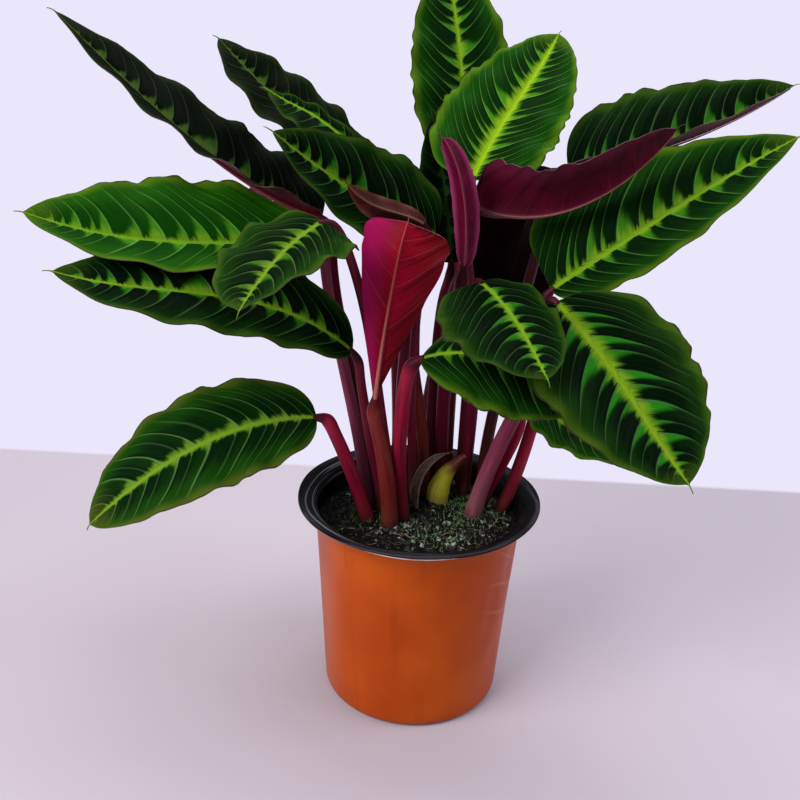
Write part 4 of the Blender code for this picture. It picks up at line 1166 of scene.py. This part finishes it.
def add_litter():
    crumb_dark = speck_finish("crumb_dark", (0.020, 0.017, 0.015), (0.003, 0.003, 0.003), 260.0)
    crumb_warm = speck_finish("crumb_bark", (0.055, 0.034, 0.022), (0.012, 0.008, 0.006), 200.0)
    grit_pale = speck_finish("grit_pale", (0.36, 0.39, 0.33), (0.05, 0.065, 0.05), 520.0)
    moss_green = speck_finish("moss_green", (0.15, 0.32, 0.06), (0.020, 0.085, 0.015), 300.0)
    moss_grey = speck_finish("moss_grey", (0.30, 0.36, 0.24), (0.09, 0.13, 0.07), 300.0)
    fibre_tan = speck_finish("fibre_tan", (0.24, 0.17, 0.11), (0.07, 0.045, 0.03), 240.0)
    fibre_dark = speck_finish("fibre_dark", (0.06, 0.045, 0.035), (0.015, 0.011, 0.009), 240.0)
    crumbs = [lump("crumb_a", crumb_dark, 0.7, 0.7), lump("crumb_bb", crumb_dark, 0.9, 0.6)]
    scatter("peat_crumbs", crumbs, spread(620, 0.8, 3.2, 0.25))
    ring = []
    for stalk in STALKS.values():
        for _ in range(13):
            turn, size = random.uniform(0, 6.28), random.uniform(0.8, 1.9)
            gap = stalk["radii"][0] + size * 0.55
            x = stalk["foot"][0] + gap * math.cos(turn)
            y = stalk["foot"][1] + gap * math.sin(turn)
            ring.append((x, y, soil_height(x, y), size, turn, random.uniform(-0.6, 0.6)))
    scatter("foot_crumbs", [lump("crumb_ccc", crumb_dark, 0.8, 0.7), lump("crumb_dddd", crumb_warm, 0.9, 0.6)],
            ring)
    bark = [lump("bark_a", crumb_warm, 0.6, 0.35), lump("bark_bbb", crumb_warm, 0.9, 0.45)]
    scatter("bark_chips", bark, spread(110, 1.0, 3.0, 0.1))
    grit = [lump("grit_a", grit_pale, 0.8, 0.5), lump("grit_bbbb", grit_pale, 1.1, 0.35)]
    scatter("pale_grit", grit, spread(250, 0.35, 2.1, 0.15, 71.0, fleck_share))
    scatter("moss_tufts", [moss_leaf("moss_a", moss_green)],
            spread(980, 0.7, 1.9, 0.1, 70.0, moss_share))
    scatter("moss_dry", [moss_leaf("moss_b", moss_grey)],
            spread(260, 0.6, 1.6, 0.1, 70.0, fleck_share))
    scatter("fibres", [fibre("fibre_a", fibre_tan, 0.8), fibre("fibre_b", fibre_dark, 1.5)],
            spread(110, 0.5, 1.5, -0.3, 66.0))


# ---------------------------------------------------------------- young shoot and dry sheath

SHOOT_PATH = ((16, 27, 130), (16, 26, 152), (23, 25, 169), (34, 23, 182))
SHOOT_RADII = (8.2, 8.6, 5.6, 1.6)
SHEATH = dict(midrib=((-2, 8, 143.2), (-4, 9, 160), (3, 12, 177), (19, 15, 187)),
              face=((0.7, 0.6, 0.1), (0.7, 0.6, -0.4)), half=(6, 5), fold=(25, 25), wave=(0, 1, 0.0),
              shape=(0.3, 0.6), cells=5)


def add_shoot():
    steps = np.linspace(0, 1, 40)
    points, _ = smooth_curve(SHOOT_PATH, steps)
    radii = np.interp(steps, (0.0, 1 / 3, 2 / 3, 1.0), SHOOT_RADII)

    def rolled(length, turn):
        lap = np.exp(-(np.angle(np.exp(1j * (turn - 4.3 - 1.5 * length))) / 0.2) ** 2)
        return 1 + 0.09 * lap + 0.03 * np.sin(3 * turn + 4 * length)

    shoot = tube_piece("new_shoot", points, radii, 40, 60, [shoot_skin()], rolled)
    soften(shoot, 60.0)
    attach(shoot, "root")
    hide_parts("young_shoot")


def add_dry_sheath():
    place, maps, _ = blade_surface(SHEATH, 3.0)
    sheath = sheet_piece("dry_leaf_sheath", 70, 26, place, maps, [dry_skin()])
    shell = sheath.modifiers.new("Thickness", "SOLIDIFY")
    shell.thickness = 0.5 * MM
    shell.offset = 0.0
    only(sheath)
    bpy.ops.object.modifier_apply(modifier=shell.name)
    soften(sheath, 50.0)
    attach(sheath, "root")
    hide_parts("dry_sheath")


# ---------------------------------------------------------------- floor, light and camera

WALL_TONE = (0.83, 0.80, 0.965)


def add_floor():
    bpy.ops.object.select_all(action="DESELECT")
    bpy.ops.mesh.primitive_plane_add(size=12.0, location=(0.0, 0.0, -0.0002))
    f = Finish("floor_pale", roughness=0.6, specular_ior_level=0.0)
    x, y, z = f.split(f.place(1.0))
    cloud = f.noise(f.place(1.6), detail=2.0)
    near = (0.545, 0.485, 0.545)
    beyond = (y + x * 0.03).rise(0.362, 0.372)
    tone = f.mix(near, tuple(c * 0.94 for c in near), cloud.rise(0.4, 0.7) * 0.4)
    f.colour(f.mix(tone, (0.0, 0.0, 0.0), beyond))
    f.shader.inputs["Emission Strength"].default_value = 1.0
    f.feed(f.shader.inputs["Emission Color"], f.mix((0.0, 0.0, 0.0), WALL_TONE, beyond))
    floor = take("floor", [f.material])


def add_light(name, place, aim, size, power, colour):
    data = bpy.data.lights.new(name, "AREA")
    data.shape = "RECTANGLE"
    data.size, data.size_y = size
    data.energy = power
    data.color = colour
    lamp = bpy.data.objects.new(name, data)
    bpy.context.scene.collection.objects.link(lamp)
    lamp.location = place
    lamp.rotation_euler = (Vector(aim) - Vector(place)).to_track_quat("-Z", "Y").to_euler()


def add_studio():
    bpy.context.scene.view_settings.view_transform = "Standard"
    world = bpy.data.worlds.new("pale_room")
    bpy.context.scene.world = world
    world.use_nodes = True
    nodes, links = world.node_tree.nodes, world.node_tree.links
    soft = nodes["Background"]
    soft.inputs["Color"].default_value = (0.86, 0.88, 1.0, 1.0)
    soft.inputs["Strength"].default_value = 0.34
    wall = nodes.new("ShaderNodeBackground")
    wall.inputs["Color"].default_value = (*WALL_TONE, 1.0)
    seen = nodes.new("ShaderNodeLightPath")
    blend = nodes.new("ShaderNodeMixShader")
    links.new(seen.outputs["Is Camera Ray"], blend.inputs[0])
    links.new(soft.outputs[0], blend.inputs[1])
    links.new(wall.outputs[0], blend.inputs[2])
    links.new(blend.outputs[0], nodes["World Output"].inputs["Surface"])
    add_light("window_left", (-1.2, -1.0, 1.3), (0.0, 0.0, 0.28), (1.2, 1.1), 34.0, (1.0, 0.98, 0.96))
    add_light("window_right", (1.5, -0.2, 1.3), (0.0, 0.0, 0.25), (1.1, 1.1), 13.0, (0.94, 0.95, 1.0))
    add_light("ceiling", (0.1, 0.6, 1.9), (0.0, 0.0, 0.2), (1.5, 1.2), 20.0, (1.0, 1.0, 1.0))


CAMERA_PLACE = (-0.017, -0.643, 0.492)
CAMERA_TILT = 68.2
CAMERA_ROLL = 2.4
CAMERA_FOCUS = 966
PICTURE_WIDTH = 800
SENSOR_WIDTH = 36.0


def add_camera():
    data = bpy.data.cameras.new("camera")
    data.sensor_width = SENSOR_WIDTH
    data.lens = CAMERA_FOCUS * SENSOR_WIDTH / PICTURE_WIDTH
    camera = bpy.data.objects.new("camera", data)
    bpy.context.scene.collection.objects.link(camera)
    tilt = Matrix.Rotation(math.radians(CAMERA_TILT), 4, "X")
    roll = Matrix.Rotation(math.radians(CAMERA_ROLL), 4, "Z")
    camera.matrix_world = Matrix.Translation(CAMERA_PLACE) @ (tilt @ roll)
    bpy.context.scene.camera = camera


random.seed(41)
add_camera()
add_studio()
add_floor()
add_pot()
add_soil()
add_litter()
add_shoot()
add_dry_sheath()
for number, (leaf, blade) in enumerate(BLADES.items(), 1):
    add_blade(leaf, blade, number)
    add_stalk(leaf, STALKS[leaf], blade)
